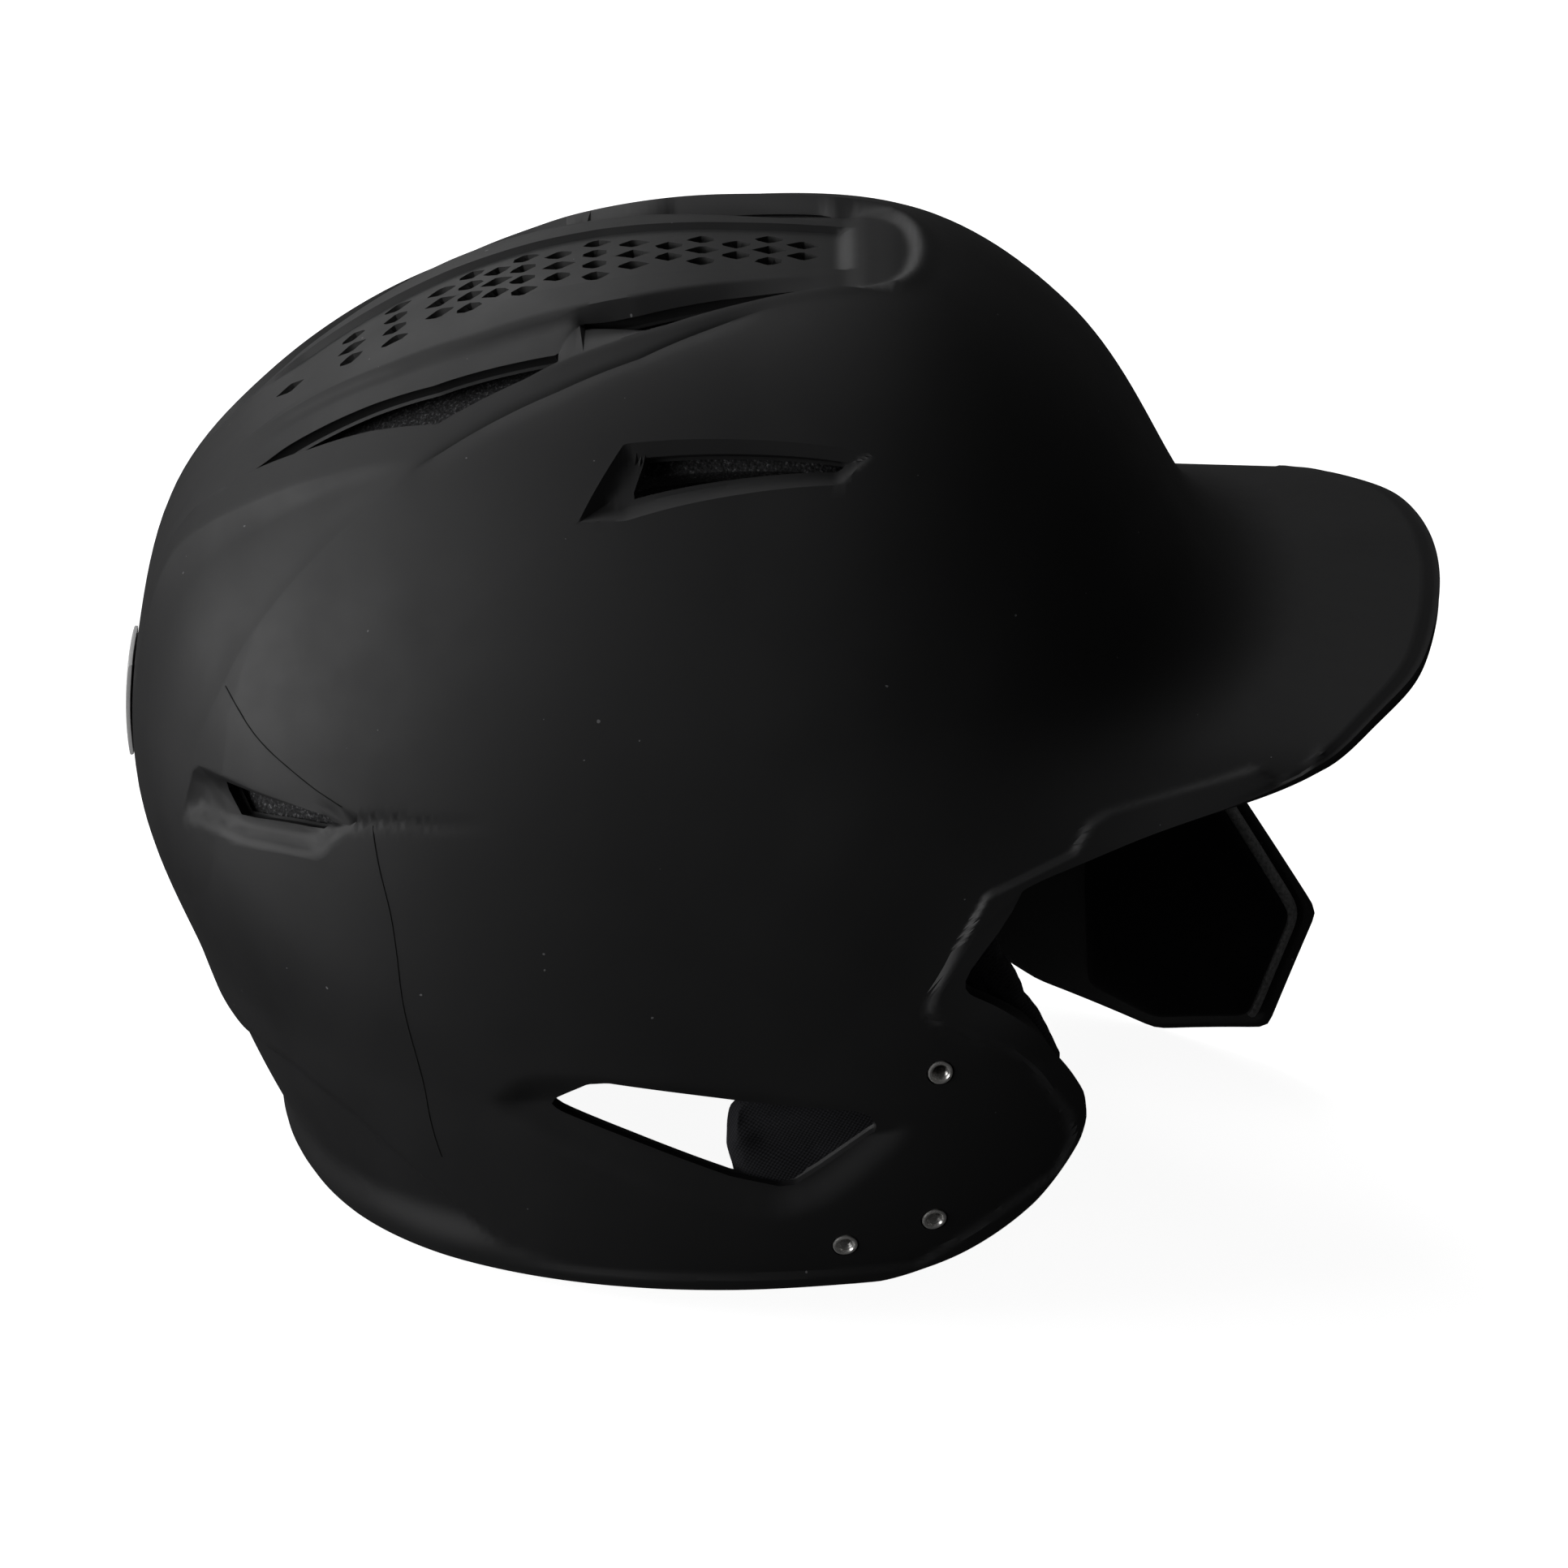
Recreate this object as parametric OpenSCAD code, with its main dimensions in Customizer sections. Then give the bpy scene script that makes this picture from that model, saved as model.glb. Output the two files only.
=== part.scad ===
// Batting helmet with two ear flaps and a bolt-on jaw guard on the wearer's left side.
// Millimetres, +X to the front (bill), +Y to the wearer's left, +Z up.
// The helmet stands on a table, so its own upright frame is leaned over by the rest pose.

/* [Shell] */
// Half width of the shell across the ears
half_width = 104; // [98:0.5:110]
// Wall thickness of the shell
wall = 3.4; // [2.5:0.1:5]
// Height of the ear axis above the lower rim
ear_height = 40; // [34:1:48]
// Fore and aft place of the ear axis
ear_x = -12; // [-20:1:-4]

/* [Bill] */
// Reach of the bill tip in front of the helmet's middle
bill_reach = 149; // [135:1:160]
// Height of the bill's crest line above the rim
bill_height = 134; // [126:1:142]
// Droop of the bill from its crest to 80 mm out to each side
bill_droop = 12; // [6:0.5:20]
// Size of the fillet where the bill meets the forehead
bill_fillet = 16; // [6:1:26]

/* [Openings] */
// Radius that softens the corners of the side vents
vent_corner = 1.2; // [0.6:0.1:3]

/* [Threaded inserts] */
// Outside radius of the metal insert
insert_radius = 2.8; // [2.4:0.1:3.4]
// Radius of the threaded bore
bore_radius = 1.65; // [1.4:0.05:2]
// Length of the insert and of its bore
insert_length = 8; // [6:0.5:10]
// Radial clearance between insert and shell
insert_gap = 0.3; // [0.2:0.05:0.5]

/* [Liner and pads] */
// Thickness of the foam liner blocks
liner_thickness = 13; // [8:0.5:18]
// Gap between neighbouring layers
layer_gap = 0.5; // [0.3:0.1:1]
// Thickness of the fabric covered pads
pad_thickness = 9; // [6:0.5:14]

/* [Jaw guard] */
// Thickness of the guard plate
guard_wall = 3; // [2.5:0.1:4]
// Distance of the guard's inner face from the middle plane at its rear
guard_offset = 102.5; // [101:0.5:106]
// Thickness of the guard's foam pad
guard_pad = 9; // [6:0.5:12]

/* [Rest pose] */
// Lean of the helmet towards its right side when it stands on a table
rest_roll = 2.7; // [0:0.1:12]
// Nose-down turn of the helmet when it stands on a table, negative for nose-up
rest_pitch = -6.9; // [-10:0.1:4]
// Lift that puts the lowest point on the table
rest_lift = 14.8; // [0:0.1:40]
// Shift that centres the part fore and aft
rest_shift_x = 14.9; // [-20:0.1:20]
// Shift that centres the part side to side
rest_shift_y = 0.1; // [-20:0.1:20]

/* [Hidden] */
// Sagittal radii about the ear axis: angle in degrees from +X, then radius
dome_radii = [
  [-200, 145], [-185, 124], [-160, 109], [-120, 100], [-90, 95], [-60, 95],
  [-30, 110], [0, 128], [25, 140], [46, 149], [62, 167], [75, 176], [90, 174],
  [110, 172], [130, 169], [140, 166], [150, 156], [160, 145], [175, 124], [200, 109], [240, 100]
];
// Exponent that sets how square the dome's cross-section is
round_exponent = 2.45;
// Reach of a cutter that runs clean out of the part
far_out = 260;
// Half width that the side cutters leave alone
cavity_half = 30;
// Height above which the crown vents are cut
crown_cut_height = 120;
// Length and number of sides of the cutter for an insert's hole, and its turn off the grid
hole_cut_length = 24;
hole_sides = 24;
hole_turn = 5;
// Angle and latitude where the bill fades into the ear flap, and the span of each fade
flap_angle = 12;
flap_latitude = 62;
flap_angle_span = 16;
// Angle where the bill's share of the surface ends, and the span of its fade
bill_end = 82;
bill_end_span = 14;
flap_latitude_span = 14;
// Latitude where the crown's grid hands over to the rings round the ears
seam = 48;
// Angle behind which the crown's grid is coarser
coarse_angle = 54;
// Side view edges of the flap pads: height, then place fore and aft
pad_rear_edge = [[9, -2], [14, -8], [24, -11.5], [42, -12], [48, -8], [56, 1], [84, 33]];
pad_front_edge = [[9, 19], [15, 37], [28, 54], [44, 59.5], [62, 51], [80, 46], [84, 41]];
pad_depth = 8.6;
// Grid counts: fine and coarse columns, columns below, rows across, rows in a ring
fine_columns = 13;
coarse_columns = 29;
lower_columns = 38;
cross_rows = 26;
ring_rows = 7;
columns = fine_columns + coarse_columns;
ring_columns = columns + lower_columns;

// Front edge of bill and brow: latitude, then angle
front_edge = [
  [0, 30.3], [16, 30.3], [22, 31.3], [27, 31.7], [30.4, 32.4], [33, 33.5], [37.8, 36.5],
  [44.2, 39.8], [48, 42.8]
];
// Edge of the notch and the ear flap about the ear axis: angle, then radius
flap_edge = [
  [-50, 52.2], [-41, 57], [-34, 61.5], [-26, 66.5], [-18, 71.5], [-10, 75.5], [-5, 78], [-1, 79],
  [4, 78.5], [9, 76], [15.5, 72.4], [22, 69], [28, 65.5], [33, 62.3], [35.5, 62.6],
  [37.5, 66], [40, 76], [42.8, 85.4]
];
// Outline of the ear hole about the ear axis
ear_hole = [
  [32.6, 2.4], [31, 5.6], [28, 6.7], [5, 9], [-27, 13.6], [-31.5, 13], [-39, 8], [-40, 6.2],
  [-37.5, 4.6], [-22, -1.5], [0, -10.5], [11, -13.4], [14.5, -13], [20, -9.2], [32.4, 0.4]
];
// Radii of the guard's bosses, of its screws' shanks and heads, and of the hexagonal sockets
boss_radius = 5.5;
shank_radius = bore_radius - 0.25;
head_radius = 4.4;
socket_radius = 1.5;
// Gap between the ear flap and a boss, and how far the bosses reach inside the guard
boss_gap = 0.5;
boss_depth = 8;
// Corner radii of the guard plate and of its pad
guard_corner = 5;
guard_pad_corner = 6;
// Smoothness of round parts
round_sides = 48;
boss_sides = 32;
// Lowest and highest corners of the guard's working sheet in the side view
sheet_low = [-10, -36];
sheet_high = [135, 74];

// Colours of the nodes
node_colour_shell = [0.05, 0.05, 0.055];
node_colour_foam = [0.16, 0.16, 0.17];
node_colour_fabric = [0.07, 0.07, 0.08];
node_colour_metal = [0.78, 0.78, 0.80];
node_colour_badge = [0.92, 0.92, 0.93];

// Places of the three inserts in the side view, upper, front and rear
insert_spots = [[34.6, 55], [33.6, 16.3], [13.7, 11]];

// ---- surface functions ----

// Index of the radius table's span that holds an angle
function span_of(a, i = 1) =
  (i >= len(dome_radii) - 3 || a < dome_radii[i + 1][0]) ? i : span_of(a, i + 1);

// Slope of the radius table at one of its rows
function slope_at(i) =
  (dome_radii[i + 1][1] - dome_radii[i - 1][1]) / (dome_radii[i + 1][0] - dome_radii[i - 1][0]);

// Angle brought into the table's range
function wrap(a) = a > 185 ? a - 360 : (a < -175 ? a + 360 : a);

// Sagittal radius at an angle, a smooth cubic through the table
function dome_radius(a) =
  let (w = wrap(a), i = span_of(w), h = dome_radii[i + 1][0] - dome_radii[i][0],
       t = (w - dome_radii[i][0]) / h, u = t * t, c = u * t)
  (2 * c - 3 * u + 1) * dome_radii[i][1] + (c - 2 * u + t) * h * slope_at(i)
  + (3 * u - 2 * c) * dome_radii[i + 1][1] + (c - u) * h * slope_at(i + 1);

// Reach of the rounded dome along a ray from the ear axis
function dome_reach(a, f) =
  pow(pow(abs(cos(f)) / dome_radius(a), round_exponent)
      + pow(abs(sin(f)) / half_width, round_exponent), -1 / round_exponent);

// Height of the bill's upper face, steep at its two sides
function bill_z(x, y) =
  bill_height + 0.03 * (bill_reach - x) - bill_droop * pow(y / 80, 2) - 40 * pow(abs(y) / 97, 16);

// Reach of the bill's upper face along a ray, found by halving
function bill_reach_along(a, f, lo = 20, hi = 230, n = 16) =
  let (m = (lo + hi) / 2, x = ear_x + m * cos(f) * cos(a), y = m * sin(f),
       z = ear_height + m * cos(f) * sin(a))
  n == 0 ? m : (z < bill_z(x, y) ? bill_reach_along(a, f, m, hi, n - 1)
                                 : bill_reach_along(a, f, lo, m, n - 1));

// Larger of two lengths with a soft hand-over
function soft_max(a, b, w) =
  let (h = max(w - abs(a - b), 0) / w) max(a, b) + h * h * w / 4;

// Smooth step from 0 to 1
function ease(t) = let (u = min(1, max(0, t))) u * u * (3 - 2 * u);

// Share of the bill in the surface: all of it in front, none on the ear flaps
function bill_share(w, f) =
  w > bill_end ? 0 : ease((w - flap_angle) / flap_angle_span)
    * ease((flap_latitude - abs(f)) / flap_latitude_span) * ease((bill_end - w) / bill_end_span);

// Outer reach of the shell
function shell_reach(a, f) =
  let (d = dome_reach(a, f), s = bill_share(wrap(a), f))
  s == 0 ? d : d + s * (soft_max(d, bill_reach_along(a, f), bill_fillet) - d);

// Point on the outer face
function shell_point(a, f) =
  let (r = shell_reach(a, f))
  [ear_x + r * cos(f) * cos(a), r * sin(f), ear_height + r * cos(f) * sin(a)];

// Outward unit normal of the outer face
function shell_normal(a, f) =
  let (n = cross(shell_point(a, f + 0.5) - shell_point(a, f - 0.5),
                 shell_point(a + 0.5, f) - shell_point(a - 0.5, f)))
  n / norm(n);

// Point a depth below the outer face
function layer_point(a, f, depth) = shell_point(a, f) - depth * shell_normal(a, f);

// Half width of the dome at a place in the side view
function flap_y(x, z) =
  let (r = norm([x - ear_x, z - ear_height]), a = atan2(z - ear_height, x - ear_x))
  half_width * pow(1 - pow(r / dome_radius(a), round_exponent), 1 / round_exponent);

// Inner face of the jaw guard at a place in the side view
function guard_y(x, z) = guard_offset - 0.0026 * pow(x - 20, 2) - 0.0012 * pow(z - 45, 2);

// ---- building blocks ----

// Angle of the lower rim at a latitude, found by halving
function rim_angle(f, lo = 188, hi = 226, n = 16) =
  let (m = (lo + hi) / 2)
  n == 0 ? m : (dome_reach(m, f) * cos(f) * sin(m) > -ear_height ? rim_angle(f, m, hi, n - 1)
                                                                  : rim_angle(f, lo, m, n - 1));

// Angle of a grid column over the crown at a latitude
function column_angle(i, f) =
  let (first = lookup(abs(f), front_edge))
  i < fine_columns
    ? first + (coarse_angle - first) * i / fine_columns
    : coarse_angle + (rim_angle(f) - coarse_angle) * (i - fine_columns) / coarse_columns;

// Angle of a column in the ring round an ear, the last ones pass below it
function ring_angle(c) =
  let (last = rim_angle(seam), first = lookup(seam, front_edge))
  c <= columns ? column_angle(c, seam)
               : last + (first + 360 - last) * (c - columns) / lower_columns;

// Distance from the ear axis to a straight edge along a direction, or 0 where it misses
function edge_hit(a, p, q) =
  let (d = [cos(a), sin(a)], e = q - p, den = d[0] * e[1] - d[1] * e[0],
       r = (p[0] * e[1] - p[1] * e[0]) / den, t = (p[0] * d[1] - p[1] * d[0]) / den)
  (den != 0 && r > 0 && t >= 0 && t <= 1) ? r : 0;

// Radius of the ear hole along a direction
function hole_radius(a) =
  max([for (i = [0 : len(ear_hole) - 1])
    edge_hit(a, ear_hole[i], ear_hole[(i + 1) % len(ear_hole)])]);

// Latitude of the dome at a radius round the ear axis
function latitude(a, r) = atan2(flap_y(ear_x + r * cos(a), ear_height + r * sin(a)), r);

// Outer limit of a ring: the seam above, the rim or the flap's edge below
function ring_limit(c) =
  let (a = ring_angle(c), w = wrap(a))
  c <= columns ? seam
               : latitude(a, w < -50 || w > 60 ? ear_height / abs(sin(a)) : lookup(w, flap_edge));

// Latitude of a point in the ring round an ear
function ring_latitude(k, c) =
  let (inner = latitude(ring_angle(c), hole_radius(ring_angle(c))))
  inner + (ring_limit(c) - inner) * k / ring_rows;

// Two triangles over a grid cell, the diagonal alternating; flip turns the face over
function cell(a, b, c, d, odd, flip) =
  odd ? (flip ? [[a, d, b], [b, d, c]] : [[a, b, d], [b, c, d]])
      : (flip ? [[a, c, b], [a, d, c]] : [[a, b, c], [a, c, d]]);

// The whole shell wall between its edges and round both ear holes, before vents and bores
module shell_sheet() {
  crown = [for (j = [0 : cross_rows]) for (i = [0 : columns])
    let (f = -seam + 2 * seam * j / cross_rows)
    [column_angle(i, f), f]];
  rings = [for (side = [-1, 1])
    each concat(
      [for (k = [0 : ring_rows - 1]) for (c = [0 : ring_columns - 1])
        [ring_angle(c), side * ring_latitude(k, c)]],
      [for (c = [columns + 1 : ring_columns - 1])
        [ring_angle(c), side * ring_latitude(ring_rows, c)]])];
  places = concat(crown, rings);
  count = len(places);
  ring_size = ring_rows * ring_columns + lower_columns - 1;
  function crown_at(j, i) = j * (columns + 1) + i;
  function ring_at(side, k, c) =
    let (m = c % ring_columns, first = len(crown) + side * ring_size)
    k < ring_rows ? first + k * ring_columns + m
                  : (m <= columns ? crown_at(side * cross_rows, m)
                                  : first + ring_rows * ring_columns + m - columns - 1);
  skin = concat(
    [for (j = [0 : cross_rows - 1]) for (i = [0 : columns - 1])
      [crown_at(j, i), crown_at(j, i + 1), crown_at(j + 1, i + 1), crown_at(j + 1, i), j + i]],
    [for (side = [0, 1]) for (k = [0 : ring_rows - 1]) for (c = [0 : ring_columns - 1])
      side == 0
        ? [ring_at(0, k, c), ring_at(0, k, c + 1), ring_at(0, k + 1, c + 1), ring_at(0, k + 1, c), k + c]
        : [ring_at(1, k, c), ring_at(1, k + 1, c), ring_at(1, k + 1, c + 1), ring_at(1, k, c + 1), k + c]]);
  rims = concat(
    [for (j = [0 : cross_rows - 1]) [crown_at(j + 1, 0), crown_at(j, 0)]],
    [for (j = [0 : cross_rows - 1]) [crown_at(j, columns), crown_at(j + 1, columns)]],
    [for (c = [0 : ring_columns - 1]) [ring_at(0, 0, c), ring_at(0, 0, c + 1)]],
    [for (c = [0 : ring_columns - 1]) [ring_at(1, 0, c + 1), ring_at(1, 0, c)]],
    [for (c = [columns : ring_columns - 1])
      [ring_at(0, ring_rows, c + 1), ring_at(0, ring_rows, c)]],
    [for (c = [columns : ring_columns - 1])
      [ring_at(1, ring_rows, c), ring_at(1, ring_rows, c + 1)]]);
  polyhedron(
    points = [for (depth = [0, wall]) for (p = places) layer_point(p[0], p[1], depth)],
    faces = concat(
      [for (q = skin) each cell(q[0], q[1], q[2], q[3], q[4] % 2 == 1, false)],
      [for (q = skin)
        each cell(count + q[0], count + q[1], count + q[2], count + q[3], q[4] % 2 == 1, true)],
      [for (e = rims) each [[e[1], e[0], count + e[0]], [e[1], count + e[0], count + e[1]]]]),
    convexity = 10);
}

// Solid between two grids of points, the outer one first; flip turns its faces over
module closed_grid(grid, na, nf, flip = false) {
  m = na + 1;
  k = m * (nf + 1);
  skin = [for (j = [0 : nf - 1]) for (i = [0 : na - 1])
    let (p = j * m + i)
    each [[p, p + m + 1, p + 1], [p, p + m, p + m + 1],
          [k + p, k + p + 1, k + p + m + 1], [k + p, k + p + m + 1, k + p + m]]];
  ends = [for (i = [0 : na - 1])
    let (q = nf * m + i)
    each [[i, i + 1, k + i + 1], [i, k + i + 1, k + i],
          [q, k + q + 1, q + 1], [q, k + q, k + q + 1]]];
  sides = [for (j = [0 : nf - 1])
    let (p = j * m, q = j * m + na)
    each [[p, k + p + m, p + m], [p, k + p, k + p + m],
          [q, q + m, k + q + m], [q, k + q + m, k + q]]];
  faces = concat(skin, ends, sides);
  polyhedron(points = grid, faces = flip ? [for (t = faces) [t[0], t[2], t[1]]] : faces, convexity = 4);
}

// Curved block between two depths below the outer face
module layer_block(a0, a1, f0, f1, depth0, depth1, na = 8, nf = 8) {
  closed_grid([for (d = [depth0, depth1]) for (j = [0 : nf]) for (i = [0 : na])
    layer_point(a0 + (a1 - a0) * i / na, f0 + (f1 - f0) * j / nf, d)], na, nf, true);
}

// Lets a side view outline run through the part from side to side
module through_side(y0 = -far_out, y1 = far_out) {
  translate([0, y1, 0])
    rotate([90, 0, 0])
      linear_extrude(y1 - y0, convexity = 6)
        children();
}

// Forward side vent outline in the side view
module front_vent_outline() {
  offset(vent_corner)
    offset(-vent_corner)
      polygon([[-30.3, 187.5], [13, 187.5], [12, 184.5], [-33.7, 181]]);
}

// Rear side vent outline in the side view
module rear_vent_outline() {
  offset(vent_corner)
    offset(-vent_corner)
      polygon([[-126.6, 109.3], [-128.3, 101], [-118, 102.4], [-103, 104.8], [-97.5, 109.5],
               [-115, 110.7]]);
}

// Both vents of one side in the side view
module side_vents() {
  front_vent_outline();
  rear_vent_outline();
}

// Both crown vents of one side in the plan view, front and rear
module crown_vents() {
  polygon([[-45, 35], [-30, 31.5], [-8, 29], [12, 25.5], [12, 29], [-24, 37]]);
  polygon([[-119, 26], [-105, 31], [-92, 34], [-78, 37], [-51, 40], [-77, 45.5],
           [-92, 40.6], [-106, 35]]);
}

// Copies the children to both sides of the middle plane
module both_sides() {
  children();
  mirror([0, 1, 0])
    children();
}

// Sets the children on an insert's spot, +Z out of the shell, on the given side
module at_insert(spot, side) {
  x = spot[0];
  z = spot[1];
  slope_x = (flap_y(x + 1, z) - flap_y(x - 1, z)) / 2;
  slope_z = (flap_y(x, z + 1) - flap_y(x, z - 1)) / 2;
  out = [-slope_x, 1, -slope_z] / norm([-slope_x, 1, -slope_z]);
  tilt = acos(out[2]);
  turn = atan2(side * out[1], out[0]);
  translate([x, side * flap_y(x, z), z])
    rotate([0, tilt, turn])
      children();
}

// Leans the upright helmet into the pose it takes on a table
module in_rest_pose() {
  translate([rest_shift_x, rest_shift_y, rest_lift])
    rotate([rest_roll, rest_pitch, 0])
      children();
}

// ---- nodes ----

module shell() {
  color(node_colour_shell)
    in_rest_pose()
      resize([0, 0, 0])
        difference() {
          shell_sheet();
          both_sides() {
            through_side(cavity_half, far_out)
              side_vents();
            translate([0, 0, crown_cut_height])
              linear_extrude(far_out)
                crown_vents();
            for (spot = insert_spots)
              at_insert(spot, 1)
                translate([0, 0, -hole_cut_length / 2])
                  linear_extrude(hole_cut_length)
                    rotate(hole_turn)
                      circle(r = insert_radius + insert_gap, $fn = hole_sides);
          }
        }
}

// Threaded metal insert, its mouth level with the shell's outer face
module insert_body() {
  rotate_extrude($fn = round_sides)
    polygon([
      [bore_radius, -insert_length], [insert_radius - 0.25, -insert_length],
      [insert_radius, -insert_length + 0.3], [insert_radius, 0], [insert_radius - 0.2, 0.2],
      [bore_radius + 0.35, 0.2], [bore_radius, -0.1]
    ]);
}

module insert_right_upper() {
  color(node_colour_metal)
    in_rest_pose()
      at_insert(insert_spots[0], -1)
        insert_body();
}

module insert_right_front() {
  color(node_colour_metal)
    in_rest_pose()
      at_insert(insert_spots[1], -1)
        insert_body();
}

module insert_right_rear() {
  color(node_colour_metal)
    in_rest_pose()
      at_insert(insert_spots[2], -1)
        insert_body();
}

module inserts_left() {
  color(node_colour_metal)
    in_rest_pose()
      for (spot = insert_spots)
        at_insert(spot, 1)
          insert_body();
}

// Curved sheet that follows the guard's inner face
module guard_sheet(y0, y1) {
  nx = 14;
  nz = 12;
  closed_grid([for (y = [y0, y1]) for (j = [0 : nz]) for (i = [0 : nx])
    let (x = sheet_low[0] + (sheet_high[0] - sheet_low[0]) * i / nx,
         z = sheet_low[1] + (sheet_high[1] - sheet_low[1]) * j / nz)
    [x, guard_y(x, z) + y, z]], nx, nz);
}

// Side view outline of the guard plate
module guard_outline() {
  offset(guard_corner)
    offset(-guard_corner)
      polygon([[4, 4], [4, 22], [22, 64], [44, 68], [84, 62], [106, 40], [128, 8],
               [117, -24], [91, -30], [62, -22], [30, -4]]);
}

// Side view outline of the guard's foam pad
module guard_pad_outline() {
  offset(guard_pad_corner)
    offset(-guard_pad_corner)
      polygon([[73, 6], [73, 50], [87, 55], [101, 39.5], [122, 8.3], [112.5, -20], [90, -25],
               [74, -19]]);
}

module jaw_guard() {
  color(node_colour_shell)
    in_rest_pose()
      resize([0, 0, 0])
        difference() {
          union() {
            intersection() {
              guard_sheet(0, guard_wall);
              through_side()
                guard_outline();
            }
            intersection() {
              for (spot = insert_spots)
                at_insert(spot, 1)
                  translate([0, 0, boss_gap])
                    cylinder(h = boss_depth, r = boss_radius, $fn = boss_sides);
              guard_sheet(-boss_depth, guard_wall / 2);
            }
          }
          for (spot = insert_spots)
            at_insert(spot, 1)
              cylinder(h = hole_cut_length, r = bore_radius + 0.4, center = true, $fn = boss_sides);
        }
}

module jaw_guard_pad() {
  color(node_colour_fabric)
    in_rest_pose()
      resize([0, 0, 0])
        intersection() {
          guard_sheet(-layer_gap - guard_pad, -layer_gap);
          through_side()
            guard_pad_outline();
        }
}

module guard_screws() {
  color(node_colour_metal)
    in_rest_pose()
      for (spot = insert_spots)
        at_insert(spot, 1)
          guard_screw(guard_y(spot[0], spot[1]) - flap_y(spot[0], spot[1]) + guard_wall + 0.4);
}

// Low domed screw with a hexagonal socket, its head's seat at the given height
module guard_screw(seat) {
  difference() {
    rotate_extrude($fn = round_sides)
      polygon([
        [0, -5], [shank_radius, -5], [shank_radius, seat], [head_radius, seat],
        [head_radius, seat + 0.8], [head_radius - 1, seat + 1.9], [1.8, seat + 2.4], [0, seat + 2.5]
      ]);
    translate([0, 0, seat + 0.9])
      cylinder(h = 4, r = socket_radius, $fn = 6);
  }
}

module rear_badge() {
  color(node_colour_badge)
    in_rest_pose()
      layer_block(152, 160, -4, 4, -1.6, -layer_gap, 6, 8);
}

// Foam block of the liner, over a span of angles and latitudes
module liner_block(a0, a1, f0, f1, na, nf) {
  color(node_colour_foam)
    in_rest_pose()
      layer_block(a0, a1, f0, f1, wall + layer_gap, wall + layer_gap + liner_thickness, na, nf);
}

module liner_front() {
  liner_block(50, 78, -32, 32, 7, 12);
}

module liner_crown() {
  liner_block(80, 128, -24, 24, 10, 10);
}

module liner_side_right() {
  liner_block(58, 94, -60, -34, 8, 8);
}

module liner_side_left() {
  liner_block(58, 94, 34, 60, 8, 8);
}

module liner_rear_right() {
  liner_block(98, 158, -58, -27, 12, 8);
}

module liner_rear_left() {
  liner_block(98, 158, 27, 58, 12, 8);
}

module liner_back() {
  liner_block(131, 176, -24, 24, 9, 10);
}

// Pad behind the front of an ear flap, seen through the ear hole and the notch
module flap_pad(side) {
  rows = 14;
  stations = 10;
  grid = [for (depth = [pad_depth, pad_depth + pad_thickness]) for (j = [0 : rows])
    for (i = [0 : stations])
      let (z = 9 + 75 * j / rows, x0 = lookup(z, pad_rear_edge), x1 = lookup(z, pad_front_edge),
           x = x0 + (x1 - x0) * i / stations)
      [x, side * (flap_y(x, z) - depth), z]];
  closed_grid(grid, stations, rows, side > 0);
}

module flap_pad_right() {
  color(node_colour_fabric)
    in_rest_pose()
      flap_pad(-1);
}

module flap_pad_left() {
  color(node_colour_fabric)
    in_rest_pose()
      flap_pad(1);
}

module brow_pad() {
  color(node_colour_fabric)
    in_rest_pose()
      layer_block(49, 70, -40, 40, wall + 2 * layer_gap + liner_thickness,
                  wall + 2 * layer_gap + liner_thickness + pad_thickness, 6, 14);
}

module nape_pad() {
  color(node_colour_fabric)
    in_rest_pose()
      layer_block(180, 200, -40, 40, wall + layer_gap, wall + layer_gap + pad_thickness, 5, 14);
}

shell();
jaw_guard();
jaw_guard_pad();
guard_screws();
insert_right_upper();
insert_right_front();
insert_right_rear();
inserts_left();
rear_badge();
liner_front();
liner_crown();
liner_side_right();
liner_side_left();
liner_rear_right();
liner_rear_left();
liner_back();
flap_pad_right();
flap_pad_left();
brow_pad();
nape_pad();
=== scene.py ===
import math
import bpy
import numpy as np
from mathutils import Matrix, Vector


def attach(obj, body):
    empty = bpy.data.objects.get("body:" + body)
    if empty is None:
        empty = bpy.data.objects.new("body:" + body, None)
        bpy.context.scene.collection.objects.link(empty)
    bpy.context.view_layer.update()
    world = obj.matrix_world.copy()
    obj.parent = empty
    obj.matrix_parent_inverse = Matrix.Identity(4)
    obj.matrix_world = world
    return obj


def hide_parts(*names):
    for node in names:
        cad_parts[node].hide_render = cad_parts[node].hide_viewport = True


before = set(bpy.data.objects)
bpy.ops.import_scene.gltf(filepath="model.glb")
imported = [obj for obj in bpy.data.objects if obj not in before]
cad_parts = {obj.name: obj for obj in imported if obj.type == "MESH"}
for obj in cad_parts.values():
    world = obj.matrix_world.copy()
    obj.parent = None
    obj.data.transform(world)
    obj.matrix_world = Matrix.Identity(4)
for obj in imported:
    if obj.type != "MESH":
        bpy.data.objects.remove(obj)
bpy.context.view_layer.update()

# ---- the rest pose: the helmet's own upright frame, millimetres, carried into the row frame ----
REST_ROLL, REST_PITCH = math.radians(2.7), math.radians(-6.9)
REST_SHIFT = np.array([14.9, 0.1, 14.8])
REST_TURN = np.array(Matrix.Rotation(REST_PITCH, 3, "Y") @ Matrix.Rotation(REST_ROLL, 3, "X"))


def to_row(points):
    return (np.asarray(points, float) @ REST_TURN.T + REST_SHIFT) / 1000


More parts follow.
